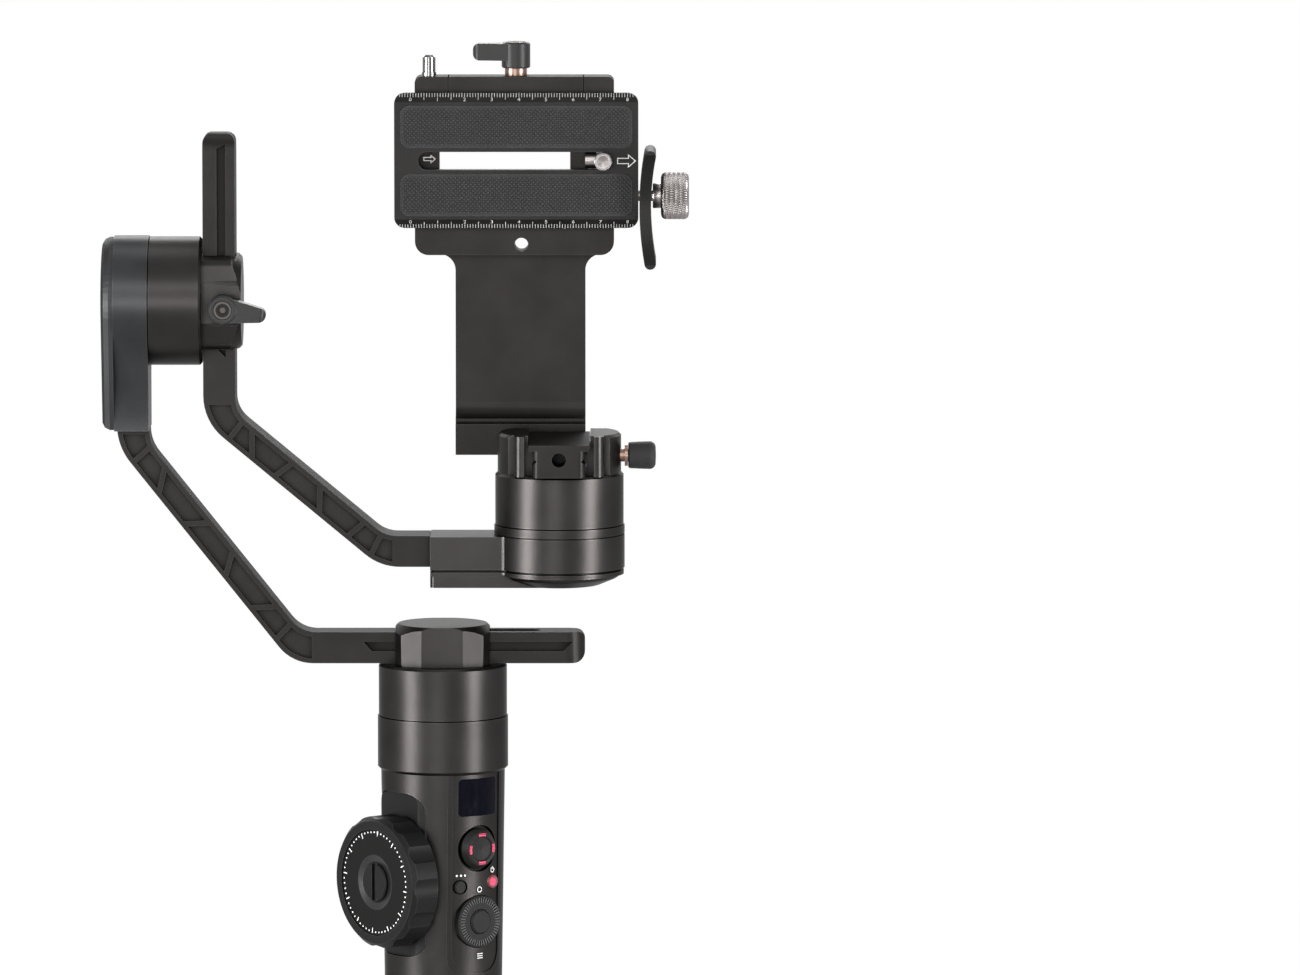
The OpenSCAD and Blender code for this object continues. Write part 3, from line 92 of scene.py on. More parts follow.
# The nodes of a new material, or of a world
class Shader:
    def __init__(self, name, world=None):
        self.material = world or bpy.data.materials.new(name)
        self.material.use_nodes = True
        self.tree = self.material.node_tree
        self.tree.nodes.clear()
        self.place = None if world else self.node("TexCoord", output="Object")

    # Any node: its settings are set first, then its sockets are fed
    def node(self, kind, settings=None, sockets=None, output=0):
        made = self.tree.nodes.new("ShaderNode" + kind)
        for key, value in (settings or {}).items():
            if key == "stops":
                for stop, (at, shade) in zip(made.color_ramp.elements, value):
                    stop.position = at
                    stop.color = (shade, shade, shade, 1)
            else:
                setattr(made, key, value)
        for key, value in (sockets or {}).items():
            if isinstance(value, Wire):
                self.tree.links.new(value.socket, made.inputs[key])
            else:
                isColour = made.inputs[key].type == "RGBA"
                made.inputs[key].default_value = (*value, 1) if isColour else value
        return Wire(self, made.outputs[output]) if made.outputs else None

    def maths(self, operation, a, b=0.0, clamp=False):
        return self.node("Math", {"operation": operation, "use_clamp": clamp}, {0: a, 1: b})

    def blend(self, factor, a, b):
        return self.node("Mix", {"data_type": "RGBA"}, {0: factor, 6: a, 7: b}, 2)

    def noise(self, scale, detail=2.0, rough=0.5, stretch=None):
        at = self.place
        if stretch:
            at = self.node("Mapping", None, {"Vector": at, "Scale": stretch})
        sockets = {"Vector": at, "Scale": scale, "Detail": detail, "Roughness": rough}
        return self.node("TexNoise", None, sockets)

    # From one level up to another between low and high, which lie from 0 to 1
    def ramp(self, value, low, high, start=0.0, end=1.0):
        return self.node("ValToRGB", {"stops": [(low, start), (high, end)]}, {0: value})

    # How near a point lies to an edge, from 0 on a face to 1 on the edge
    def edge(self, width, gain):
        eased = self.node("Bevel", {"samples": 4}, {"Radius": width * mm})
        true = self.node("NewGeometry", output="Normal")
        turn = self.node("VectorMath", {"operation": "DOT_PRODUCT"}, {0: eased, 1: true}, "Value")
        return self.maths("MULTIPLY", 1 - turn, gain, clamp=True)

    # 0 deep in a groove, gap or corner, to 1 in the open
    def openness(self, reach):
        around = self.node("AmbientOcclusion", {"samples": 12}, {"Distance": reach * mm}, "AO")
        return self.ramp(around, 0.25, 0.85)

    # Distance from an axis through a point, as a share of a reach
    def fromAxis(self, point, axis, reach):
        away = self.node("VectorMath", {"operation": "SUBTRACT"}, {0: self.place, 1: tuple(point)})
        swept = self.node("VectorMath", {"operation": "CROSS_PRODUCT"}, {0: away, 1: tuple(axis)})
        return self.node("VectorMath", {"operation": "LENGTH"}, {0: swept}, "Value") / (reach * mm)

    def bump(self, height, strength, depth):
        return self.node("Bump", None, {"Strength": strength, "Distance": depth * mm, "Height": height})

    def finish(self, sockets):
        surface = self.node("BsdfPrincipled", None, sockets)
        self.node("OutputMaterial", None, {"Surface": surface})
        return self.material


def shaded(colour, gain, lift=0.0):
    return tuple(c * gain + lift for c in colour)


def centreOf(name):
    low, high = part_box(name)
    return (low + high) / 2


# Turns round the grip's axis, in degrees from straight ahead, that the panel and the focus dial face
gripTurns = {"panel": 38, "dial": -51}


def outward(turn):
    angle = math.radians(turn)
    return Vector((math.sin(angle), -math.cos(angle), 0))


# Bead-blasted, anodised metal: fine grain, soft blotches, smoother on edges, with a painted highlight along
# the edges and painted shade in grooves, gaps and corners
metalWearAndPaintedLight = {
    "deep": 0.86, "pale": 1.14, "fleckGain": 2.4, "paintedHighlightGain": 2.8, "paintedHighlightLift": 0.02, "edgeGain": 4.0,
    "groove": 0.16, "paintedShadeReach": 3.5, "grainRough": 0.16, "blotchRough": 0.06, "roughMiddle": 0.11,
    "edgeSmooth": 0.08, "bumpDepth": 0.1,
}
plainMetal = {
    "metal": 0.9, "rough": 0.34, "rim": 0.5, "blotch": 60.0, "grain": 2600.0, "bump": 0.2, "fleck": 0.04,
    "edgeWidth": 0.6, "paintedEdgeHighlight": 0.35,
}
metals = {
    "gunmetal": {"colour": (0.0256, 0.0238, 0.0232), "blotch": 55.0, "fleck": 0.05},
    "arm": {
        "colour": (0.0158, 0.0144, 0.0138), "metal": 0.75, "rough": 0.42, "rim": 0.3, "blotch": 70.0,
        "grain": 1900.0, "bump": 0.05, "fleck": 0.02, "paintedEdgeHighlight": 0.22,
    },
    "blueGrey": {"colour": (0.0265, 0.027, 0.028)},
    "paleGrey": {"colour": (0.034, 0.0345, 0.0358), "rough": 0.37},
    "capGrey": {"colour": (0.034, 0.0345, 0.0358), "rough": 0.5},
    "plateBlack": {
        "colour": (0.0128, 0.0122, 0.0119), "metal": 0.7, "rough": 0.44, "rim": 0.45, "blotch": 80.0,
        "grain": 2300.0, "bump": 0.3, "fleck": 0.06, "edgeWidth": 0.5, "paintedEdgeHighlight": 0.5,
    },
}


def anodised(name, own):
    look = {**plainMetal, **own}
    wear = metalWearAndPaintedLight
    plain = look["colour"]
    s = Shader(name)
    blotch = s.noise(look["blotch"], 3.0)
    grain = s.noise(look["grain"], 2.0, 0.6)
    fleck = s.ramp(s.noise(look["grain"] * 0.45, 1.0), 0.66, 0.74)
    edge = s.edge(look["edgeWidth"], wear["edgeGain"])
    colour = s.blend(s.ramp(blotch, 0.3, 0.7), shaded(plain, wear["deep"]), shaded(plain, wear["pale"]))
    colour = s.blend(fleck * look["fleck"], colour, shaded(plain, wear["fleckGain"]))
    # painted highlight: the edges are lightened in the colour itself
    colour = s.blend(edge * look["paintedEdgeHighlight"], colour, shaded(plain, wear["paintedHighlightGain"], wear["paintedHighlightLift"]))
    # painted shade: grooves, gaps and corners are darkened in the colour itself
    colour = s.blend(s.openness(wear["paintedShadeReach"]), shaded(plain, wear["groove"]), colour)
    middle = look["rough"] - wear["roughMiddle"]
    rough = grain * wear["grainRough"] + blotch * wear["blotchRough"] + middle
    return s.finish({
        "Base Color": colour,
        "Metallic": look["metal"],
        "Roughness": rough - edge * wear["edgeSmooth"],
        "Specular Tint": (look["rim"],) * 3,
        "Normal": s.bump(grain, look["bump"], wear["bumpDepth"]),
    })


# Moulded plastic or rubber: spark-eroded grain, faint sheen, dust in the grain, a painted highlight along
# the edges and painted shade in grooves and gaps
plasticWearAndPaintedLight = {
    "blotch": 90.0, "deep": 0.8, "dustColour": (0.16, 0.16, 0.16), "paintedHighlightColour": (0.13, 0.13, 0.135),
    "edgeWidth": 0.4, "edgeGain": 4.0, "paintedEdgeHighlight": 0.3, "groove": 0.2, "paintedShadeReach": 2.0,
    "grainRough": 0.2, "roughMiddle": 0.1, "bumpDepth": 0.1,
}
plastics = {
    "wheelBlack": {
        "colour": (0.0062, 0.006, 0.0059), "grain": 1700.0, "rough": 0.44, "ior": 1.2, "bump": 0.25,
        "dust": 0.05,
    },
    "buttonBlack": {
        "colour": (0.0105, 0.0103, 0.0101), "grain": 1300.0, "rough": 0.5, "ior": 1.22, "bump": 0.35,
        "dust": 0.08,
    },
    "blackPlastic": {
        "colour": (0.012, 0.0117, 0.0114), "grain": 1500.0, "rough": 0.42, "ior": 1.3, "bump": 0.3,
        "dust": 0.08,
    },
    "rubber": {
        "colour": (0.0175, 0.0175, 0.0182), "grain": 1100.0, "rough": 0.66, "ior": 1.3, "bump": 0.5,
        "dust": 0.2,
    },
}


def moulded(name, look):
    wear = plasticWearAndPaintedLight
    plain = look["colour"]
    s = Shader(name)
    grain = s.noise(look["grain"], 3.0, 0.65)
    blotch = s.noise(wear["blotch"])
    edge = s.edge(wear["edgeWidth"], wear["edgeGain"])
    colour = s.blend(s.ramp(blotch, 0.3, 0.7), shaded(plain, wear["deep"]), plain)
    colour = s.blend(s.ramp(grain, 0.62, 0.8) * look["dust"], colour, wear["dustColour"])
    # painted highlight: the edges are lightened in the colour itself
    colour = s.blend(edge * wear["paintedEdgeHighlight"], colour, wear["paintedHighlightColour"])
    # painted shade: grooves and gaps are darkened in the colour itself
    colour = s.blend(s.openness(wear["paintedShadeReach"]), shaded(plain, wear["groove"]), colour)
    return s.finish({
        "Base Color": colour,
        "Roughness": grain * wear["grainRough"] + (look["rough"] - wear["roughMiddle"]),
        "IOR": look["ior"],
        "Normal": s.bump(grain, look["bump"], wear["bumpDepth"]),
    })


# Turned or plated metal, with fine tool marks stretched round or along it, a painted highlight along the
# edges and painted shade in grooves and gaps
turnedWearAndPaintedLight = {
    "marks": 900.0, "tarnish": 260.0, "edgeWidth": 0.3, "edgeGain": 3.0, "paintedEdgeHighlight": 0.5, "paintedHighlightGain": 1.35,
    "groove": 0.25, "paintedShadeReach": 1.2, "markRough": 0.18, "roughMiddle": 0.09, "bumpDepth": 0.05,
}
turnedMetals = {
    "steel": {
        "colour": (0.27, 0.25, 0.245), "dull": (0.2, 0.185, 0.18), "rough": 0.34, "bump": 0.25,
        "stretch": (0.15, 1.0, 1.0),
    },
    "chrome": {
        "colour": (0.14, 0.138, 0.136), "dull": (0.1, 0.098, 0.096), "rough": 0.16, "bump": 0.05,
        "stretch": (1.0, 1.0, 0.2),
    },
    "bronze": {
        "colour": (0.24, 0.16, 0.13), "dull": (0.16, 0.11, 0.09), "rough": 0.34, "bump": 0.2,
        "stretch": (1.0, 1.0, 0.2),
    },
    "core": {
        "colour": (0.3, 0.22, 0.17), "dull": (0.2, 0.12, 0.07), "rough": 0.5, "bump": 0.4,
        "stretch": (1.0, 1.0, 9.0),
    },
    "magnet": {
        "colour": (0.5, 0.5, 0.52), "dull": (0.4, 0.4, 0.41), "rough": 0.25, "bump": 0.1,
        "stretch": (1.0, 1.0, 1.0),
    },
}


def turned(name, look):
    wear = turnedWearAndPaintedLight
    plain = look["colour"]
    s = Shader(name)
    marks = s.noise(wear["marks"], 2.0, 0.6, look["stretch"])
    tarnish = s.ramp(s.noise(wear["tarnish"], 3.0), 0.35, 0.75)
    edge = s.edge(wear["edgeWidth"], wear["edgeGain"])
    colour = s.blend(tarnish, plain, look["dull"])
    # painted highlight: the edges are lightened in the colour itself
    colour = s.blend(edge * wear["paintedEdgeHighlight"], colour, shaded(plain, wear["paintedHighlightGain"]))
    # painted shade: grooves and gaps are darkened in the colour itself
    colour = s.blend(s.openness(wear["paintedShadeReach"]), shaded(plain, wear["groove"]), colour)
    return s.finish({
        "Base Color": colour,
        "Metallic": 1.0,
        "Roughness": marks * wear["markRough"] + (look["rough"] - wear["roughMiddle"]),
        "Normal": s.bump(marks, look["bump"], wear["bumpDepth"]),
    })


# Smoked display glass with a faint smear of fingerprints
glassLook = {
    "clear": (0.0022, 0.0022, 0.0045), "smudged": (0.0032, 0.0032, 0.006), "smear": 420.0,
    "stretch": (1.0, 1.0, 0.4), "smooth": 0.06, "rough": 0.2, "ior": 1.1,
}


def glassFinish():
    look = glassLook
    s = Shader("displayGlass")
    smear = s.noise(look["smear"], 4.0, 0.6, look["stretch"])
    return s.finish({
        "Base Color": s.blend(s.ramp(smear, 0.4, 0.7), look["clear"], look["smudged"]),
        "Roughness": s.ramp(smear, 0.35, 0.75, look["smooth"], look["rough"]),
        "IOR": look["ior"],
    })


# Matt black dial whose dished ring is smoother and greyer; the ring's edges are shares of the reach
dialFace = {
    "deep": (0.0035, 0.0034, 0.0033), "pale": (0.006, 0.0058, 0.0057), "dish": (0.034, 0.034, 0.034),
    "reach": 20.0, "inner": (0.375, 0.385), "outer": (0.5, 0.515), "dishMetal": 0.8, "dishSmooth": 0.16,
    "grain": 2400.0, "grainRough": 0.1, "rough": 0.42, "ior": 1.16, "bump": 0.15, "bumpDepth": 0.1,
}


def dialFinish():
    look = dialFace
    s = Shader("dialBlack")
    away = s.fromAxis(centreOf("focus_dial"), outward(gripTurns["dial"]), look["reach"])
    dish = s.ramp(away, *look["inner"]) * s.ramp(away, *look["outer"], 1.0, 0.0)
    grain = s.noise(look["grain"], 3.0, 0.65)
    return s.finish({
        "Base Color": s.blend(dish, s.blend(grain, look["deep"], look["pale"]), look["dish"]),
        "Metallic": dish * look["dishMetal"],
        "Roughness": dish * -look["dishSmooth"] + grain * look["grainRough"] + look["rough"],
        "IOR": look["ior"],
        "Normal": s.bump(grain, look["bump"], look["bumpDepth"]),
    })


# Pale ink, slightly broken up by the grain under it; the dark grey rib strips are no ink but a painted
# highlight on the menu dial's ribs
inksAndRibHighlight = {
    "whiteInk": {"worn": (0.5, 0.495, 0.49), "fresh": (0.75, 0.745, 0.74)},
    "ruleInk": {"worn": (0.26, 0.257, 0.254), "fresh": (0.46, 0.456, 0.45)},
    "ribPaintedHighlight": {"worn": (0.03, 0.03, 0.03), "fresh": (0.06, 0.06, 0.06)},
}


def inkFinish(name, look):
    s = Shader(name)
    wear = s.ramp(s.noise(3000.0), 0.35, 0.6)
    return s.finish({
        "Base Color": s.blend(wear, look["worn"], look["fresh"]),
        "Roughness": wear * 0.1 + 0.5,
    })


# Red light through a tinted lens; with a centre, only its middle is lit and the rim stays dark
lampLook = {
    "lens": ((0.26, 0.006, 0.03), (0.42, 0.015, 0.07)), "light": ((0.8, 0.012, 0.09), (1.0, 0.05, 0.19)),
    "rimLens": (0.09, 0.006, 0.008), "rimLight": (0.012, 0.0, 0.0), "reach": 10.0, "rim": (0.09, 0.18),
    "cells": 1600.0, "padGlow": 0.55, "buttonGlow": 0.5,
}


def lampFinish(name, glow, centre=None, axis=None):
    look = lampLook
    s = Shader(name)
    cells = s.ramp(s.noise(look["cells"]), 0.3, 0.7)
    lens = s.blend(cells, *look["lens"])
    light = s.blend(cells, *look["light"])
    if centre:
        rim = s.ramp(s.fromAxis(centre, axis, look["reach"]), *look["rim"])
        lens = s.blend(rim, lens, look["rimLens"])
        light = s.blend(rim, light, look["rimLight"])
    return s.finish({
        "Base Color": lens,
        "Roughness": cells * 0.1 + 0.25,
        "Emission Color": light,
        "Emission Strength": glow,
    })


# A dark socket screw with an uncoated metal ring, and an uncoated metal centre that is a painted glint in
# the socket; the edges of both are shares of the reach
screwLook = {
    "dark": (0.006, 0.0057, 0.0055), "bareRingAndPaintedGlint": (0.055, 0.047, 0.043), "reach": 10.0, "ringInner": (0.24, 0.26),
    "ringOuter": (0.31, 0.33), "centre": (0.1, 0.12), "marks": 900.0,
    "stretch": (1.0, 0.15, 1.0), "ior": 1.2,
}


def socketScrewFinish():
    look = screwLook
    s = Shader("socketScrew")
    away = s.fromAxis(centreOf("roll_lever_screw"), (0, 1, 0), look["reach"])
    ring = s.ramp(away, *look["ringInner"]) * s.ramp(away, *look["ringOuter"], 1.0, 0.0)
    # the ring is uncoated metal; the centre disc is a painted glint where the socket is dark
    bareRingAndPaintedGlint = ring + s.ramp(away, *look["centre"], 1.0, 0.0)
    marks = s.noise(look["marks"], 2.0, 0.6, look["stretch"])
    return s.finish({
        "Base Color": s.blend(bareRingAndPaintedGlint, look["dark"], look["bareRingAndPaintedGlint"]),
        "Metallic": bareRingAndPaintedGlint,
        "Roughness": marks * 0.15 + 0.3,
        "IOR": look["ior"],
    })


boardLook = {
    "Scale": 260.0, "Mortar Size": 0.03, "Color1": (0.01, 0.09, 0.05), "Color2": (0.012, 0.12, 0.06),
    "Mortar": (0.02, 0.2, 0.1),
}


def boardFinish():
    s = Shader("board")
    tracks = s.node("TexBrick", None, {"Vector": s.place, **boardLook})
    return s.finish({"Base Color": tracks, "Roughness": s.noise(700.0) * 0.2 + 0.3})


cellLook = {
    "deep": (0.02, 0.05, 0.16), "pale": (0.03, 0.08, 0.24), "crease": 160.0, "stretch": (1.0, 1.0, 0.25),
}


def cellFinish():
    look = cellLook
    s = Shader("cellWrap")
    crease = s.noise(look["crease"], 3.0, 0.5, look["stretch"])
    return s.finish({
        "Base Color": s.blend(s.ramp(crease, 0.4, 0.65), look["deep"], look["pale"]),
        "Roughness": crease * 0.2 + 0.25,
        "Normal": s.bump(crease, 0.2, 0.2),
    })


finishes = {name: anodised(name, look) for name, look in metals.items()}
finishes.update({name: moulded(name, look) for name, look in plastics.items()})
finishes.update({name: turned(name, look) for name, look in turnedMetals.items()})
finishes.update({name: inkFinish(name, look) for name, look in inksAndRibHighlight.items()})
finishes.update({
    "glass": glassFinish(), "dialBlack": dialFinish(), "board": boardFinish(), "cell": cellFinish(),
    "socketScrew": socketScrewFinish(), "redLamp": lampFinish("redLamp", lampLook["padGlow"]),
    "powerLamp": lampFinish("powerLamp", lampLook["buttonGlow"], centreOf("power_button"),
                            outward(gripTurns["panel"])),
})
print("finishes made:", len(finishes))

# A node takes its own finish, or that of its slot, whose name is the finish's unless it is given here
slotFinish = {"blue_grey": "blueGrey", "black_plastic": "blackPlastic", "led_red": "powerLamp"}
ownFinish = {
    "quick_release_plate": "plateBlack", "lens_support": "plateBlack", "focus_dial": "dialBlack",
    "roll_lever_screw": "socketScrew", "yaw_lever_screw": "socketScrew", "roll_motor_housing": "paleGrey",
    "roll_end_cap": "capGrey", "focus_wheel": "wheelBlack", "wheel_seat": "wheelBlack",
    "focus_screw": "wheelBlack", "menu_dial": "buttonBlack", "menu_button": "buttonBlack",
    "direction_pad": "buttonBlack", "mode_button": "buttonBlack",
}

# The width of the machined or moulded edge on each piece
easedEdges = {
    "yaw_arm": 0.4, "roll_arm": 0.4, "camera_bracket": 0.45, "quick_release_plate": 0.3, "clamp_jaw": 0.4,
    "yaw_clamp": 0.3, "roll_clamp": 0.3, "tilt_rotor": 0.3, "roll_motor_housing": 0.35,
    "tilt_motor_housing": 0.35, "lens_support": 0.6, "yaw_lever": 0.35, "roll_lever": 0.35,
    "plate_lever": 0.35, "tilt_bottom_cover": 0.8, "wheel_seat": 0.35, "plate_pads": 0.2,
    "slide_washer": 0.15,
}


def easeEdges(target, width):
    weld = target.modifiers.new("weld", "WELD")
    weld.merge_threshold = 0.002 * mm
    ease = target.modifiers.new("ease", "BEVEL")
    ease.width = width * mm
    ease.segments = 2
    ease.limit_method = "ANGLE"
    ease.angle_limit = math.radians(32)
    ease.use_clamp_overlap = True
    ease.miter_outer = "MITER_ARC"
    settle = target.modifiers.new("settle", "WEIGHTED_NORMAL")
    settle.keep_sharp = False
    settle.weight = 80


def dressNodes():
    for row in frame["record"]["subparts"]:
        name, slot = row["node"], row["material_slot"]
        node = nodes[name]
        node.data.materials.clear()
        node.data.materials.append(finishes[ownFinish.get(name, slotFinish.get(slot, slot))])
        if name in easedEdges:
            easeEdges(node, easedEdges[name])


dressNodes()
print("nodes dressed:", len(nodes))


# One mesh object from a bmesh, in a finish, riding on a body
def addPiece(name, bm, finish, body, smooth=None):
    bmesh.ops.recalc_face_normals(bm, faces=bm.faces)
    mesh = bpy.data.meshes.new(name)
    bm.to_mesh(mesh)
    bm.free()
    piece = bpy.data.objects.new(name, mesh)
    bpy.context.scene.collection.objects.link(piece)
    mesh.materials.append(finishes[finish])
    if smooth is not None:
        for face in mesh.polygons:
            face.use_smooth = True
        mesh.set_sharp_from_angle(angle=math.radians(smooth))
    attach(piece, body)
    return piece


# A band of faces between two rings of as many points
def joinRings(bm, a, b):
    for i in range(len(a)):
        j = (i + 1) % len(a)
        bm.faces.new((a[i], a[j], b[j], b[i]))


# Rows of points joined into a closed, turned skin; each row is a ring
def skin(bm, rings):
    for a, b in zip(rings, rings[1:]):
        joinRings(bm, a, b)
    bm.faces.new(rings[-1])
    bm.faces.new(rings[0][::-1])


# A closed slab: an outline in the plane, from depth low to depth high along the plane's normal
def slab(bm, outline, low, high, place):
    skin(bm, [[bm.verts.new(place @ Vector((x, y, depth))) for x, y in outline] for depth in (low, high)])


def bar(width, height, x=0.0, y=0.0):
    return [(x - width / 2, y - height / 2), (x + width / 2, y - height / 2),
            (x + width / 2, y + height / 2), (x - width / 2, y + height / 2)]


def disc(radius, sides):
    angles = [2 * math.pi * i / sides for i in range(sides)]
    return [(radius * math.cos(a), radius * math.sin(a)) for a in angles]


# A bar bent round a circle, from one angle to another, in degrees
def arc(inner, outer, start, end, steps=10):
    angles = [math.radians(start + (end - start) * i / steps) for i in range(steps + 1)]
    return ([(outer * math.cos(a), outer * math.sin(a)) for a in angles]
            + [(inner * math.cos(a), inner * math.sin(a)) for a in reversed(angles)])


# A plane facing outwards from the grip's axis, in mm: x across, y up, z outwards
def gripPlane(turn, height, out):
    place = Matrix.Identity(4)
    outwards = outward(turn)
    for i, axis in enumerate((outward(turn + 90), Vector((0, 0, 1)), outwards)):
        place.col[i].xyz = axis
    place.col[3].xyz = outwards * out + Vector((0, 0, height))
    return place @ Matrix.Scale(mm, 4)


# A plane facing the front, in mm: x to the right, y up, z towards -Y; tilt leans it back
def frontPlane(x, y, z, tilt=0.0):
    facing = Matrix.Rotation(math.radians(90 - tilt), 4, "X")
    return Matrix.Translation((x, y, z)) @ facing @ Matrix.Scale(mm, 4)


# How far a node reaches from the grip's axis, towards a turn
def faceOf(name, turn):
    outwards = outward(turn)
    return max(corner.co.dot(outwards) for corner in nodes[name].data.vertices)


# Numerals as closed slabs
def numeral(bm, text, size, place, thick):
    curve = bpy.data.curves.new("numeral", "FONT")
    curve.body = text
    curve.size = size
    curve.extrude = thick / 2
    curve.align_x = "CENTER"
    curve.align_y = "CENTER"
    curve.resolution_u = 3
    holder = bpy.data.objects.new("numeral", curve)
    mesh = bpy.data.meshes.new_from_object(holder)
    mesh.transform(place)
    bm.from_mesh(mesh)
    bpy.data.objects.remove(holder)
    bpy.data.curves.remove(curve)
    bpy.data.meshes.remove(mesh)


plateLow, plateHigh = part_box("quick_release_plate")
plateMiddle = centreOf("quick_release_plate").z

# The rule on the plate's two bevels: a tick each millimetre, a numeral each centimetre
ruleLook = {
    "bevelHeight": 3.4, "bevelDepth": 2.2, "start": 6.0, "centimetres": 8, "before": 4, "after": 2,
    "shortTick": 1.7, "halfTick": 2.8, "tickWidth": 0.19, "tickAt": 0.1, "numeral": 2.1, "numeralAt": 2.85,
    "proud": 0.02,
}


def addRule():
    look = ruleLook
    bm = bmesh.new()
    lean = math.degrees(math.atan2(look["bevelDepth"], look["bevelHeight"]))
    start, bevel = plateLow.x + look["start"] * mm, plateLow.y + look["bevelDepth"] * mm
    for side, edge in ((1, plateHigh.z), (-1, plateLow.z)):
        # the plane's origin is on the bevel's outer edge, with y up the plate
        place = frontPlane(start, bevel, edge, side * lean)
        for i in range(-look["before"], look["centimetres"] * 10 + look["after"] + 1):
            length = look["halfTick" if i % 10 == 5 else "shortTick"]
            tick = bar(look["tickWidth"], length, i, -side * (look["tickAt"] + length / 2))
            slab(bm, tick, -look["proud"], look["proud"], place)
        for i in range(look["centimetres"] + 1):
            at = Matrix.Translation((i * 10, -side * look["numeralAt"], 0))
            numeral(bm, str(i), look["numeral"], place @ at, look["proud"] * 2)
    bmesh.ops.remove_doubles(bm, verts=bm.verts, dist=0.001 * mm)
    addPiece("plateRule", bm, "ruleInk", "plate")


addRule()

# Outline arrows: towards the plate's end, and seen through its slot, on the bracket behind
arrowLook = {
    "length": 7.0, "head": 3.0, "width": 5.0, "shaft": 2.3, "line": 0.34, "barb": 1.15, "proud": 0.02,
    "fromEnd": 7.8, "slotFrom": 10.6, "slotScale": 0.66, "bracketGap": 0.3,
}


# The arrow's outline, or one inset from it all round by a line's width
def arrowOutline(look, inset):
    half, shaft = look["width"] / 2, look["shaft"] / 2 - inset
    lean = inset / math.sin(math.atan2(half, look["head"]))
    neck = look["length"] - look["head"] + inset
    barb = half - lean * look["barb"]
    return [(inset, shaft), (neck, shaft), (neck, barb), (look["length"] - lean, 0),
            (neck, -barb), (neck, -shaft), (inset, -shaft)]


def addArrow(name, place, scale, body):
    look = arrowLook
    bm = bmesh.new()
    scaled = place @ Matrix.Scale(scale, 4)

    def ring(outline, depth):
        return [bm.verts.new(scaled @ Vector((x, y, depth / scale))) for x, y in outline]

    outer, inner = arrowOutline(look, 0.0), arrowOutline(look, look["line"] / scale)
    low, high = -look["proud"], look["proud"]
    rings = [ring(outer, low), ring(outer, high), ring(inner, high), ring(inner, low)]
    for a, b in zip(rings, rings[1:] + rings[:1]):
        joinRings(bm, a, b)
    addPiece(name, bm, "whiteInk", body)


def addArrows():
    look = arrowLook
    endX, slotX = plateHigh.x - look["fromEnd"] * mm, plateLow.x + look["slotFrom"] * mm
    bracketFace = plateHigh.y + look["bracketGap"] * mm
    addArrow("plateArrow", frontPlane(endX, plateLow.y, plateMiddle), 1.0, "plate")
    addArrow("slotArrow", frontPlane(slotX, bracketFace, plateMiddle), look["slotScale"], "bracket")


addArrows()

# Tread of the rubber pads: staggered flat-topped diamonds, up to a margin from the pads' edges
treadLook = {
    "padHeight": 15.4, "pitch": 1.6, "foot": 0.66, "top": 0.4, "flat": 0.92, "height": 0.3, "sink": 0.05,
    "margin": 0.6, "corner": 3.0, "cornerMargin": 0.3,
}


def addTread():
    look = treadLook
    low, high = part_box("plate_pads")
    centre = (low + high) / 2
    halfX = (high.x - low.x) / mm / 2 - look["margin"]
    halfY = look["padHeight"] / 2 - look["margin"]
    corner = look["corner"]
    rise = (high.z - low.z - look["padHeight"] * mm) / 2
    rows = int(4 * halfY / look["pitch"]) + 2
    columns = int(2 * halfX / look["pitch"]) + 2
    diamond = ((1, 0), (0, look["flat"]), (-1, 0), (0, -look["flat"]))
    ends = ((look["foot"], -look["sink"]), (look["top"], look["height"]))
    bm = bmesh.new()
    for side in (1, -1):
        place = frontPlane(centre.x, low.y, centre.z + side * rise)
        for row in range(-rows // 2, rows // 2 + 1):
            for column in range(-columns // 2, columns // 2 + 1):
                x = (column + (0.5 if row % 2 else 0.0)) * look["pitch"]
                y = row * look["pitch"] / 2
                past = math.hypot(max(0.0, abs(x) - halfX + corner), max(0.0, abs(y) - halfY + corner))
                if past > corner - look["cornerMargin"]:
                    continue
                skin(bm, [[bm.verts.new(place @ Vector((x + size * dx, y + size * dy, depth)))
                           for dx, dy in diamond] for size, depth in ends])
    addPiece("padTread", bm, "rubber", "plate")


addTread()
print("plate dressed")

# Marks round the focus dial: dots, a bar at each fifth, and a wedge at the first
dialLook = {
    "marks": 60, "fifth": 5, "start": 85.0, "radius": 18.5, "dot": 0.33, "dotSides": 12, "bar": (1.9, 0.42),
    "barAt": -0.5, "wedge": [(-1.5, 0.0), (0.6, -0.475), (0.6, 0.475)], "proud": 0.03,
}


def addDialMarks():
    look = dialLook
    bm = bmesh.new()
    turn = gripTurns["dial"]
    place = gripPlane(turn, centreOf("focus_dial").z, faceOf("focus_dial", turn))
    for i in range(look["marks"]):
        angle = math.radians(look["start"]) - 2 * math.pi * i / look["marks"]
        spot = place @ Matrix.Rotation(angle, 4, "Z") @ Matrix.Translation((look["radius"], 0, 0))
        outline = disc(look["dot"], look["dotSides"])
        if i % look["fifth"] == 0:
            outline = bar(*look["bar"], look["barAt"]) if i else look["wedge"]
        slab(bm, outline, -look["proud"], look["proud"], spot)
    addPiece("focusMarks", bm, "whiteInk", "focus_wheel")


addDialMarks()

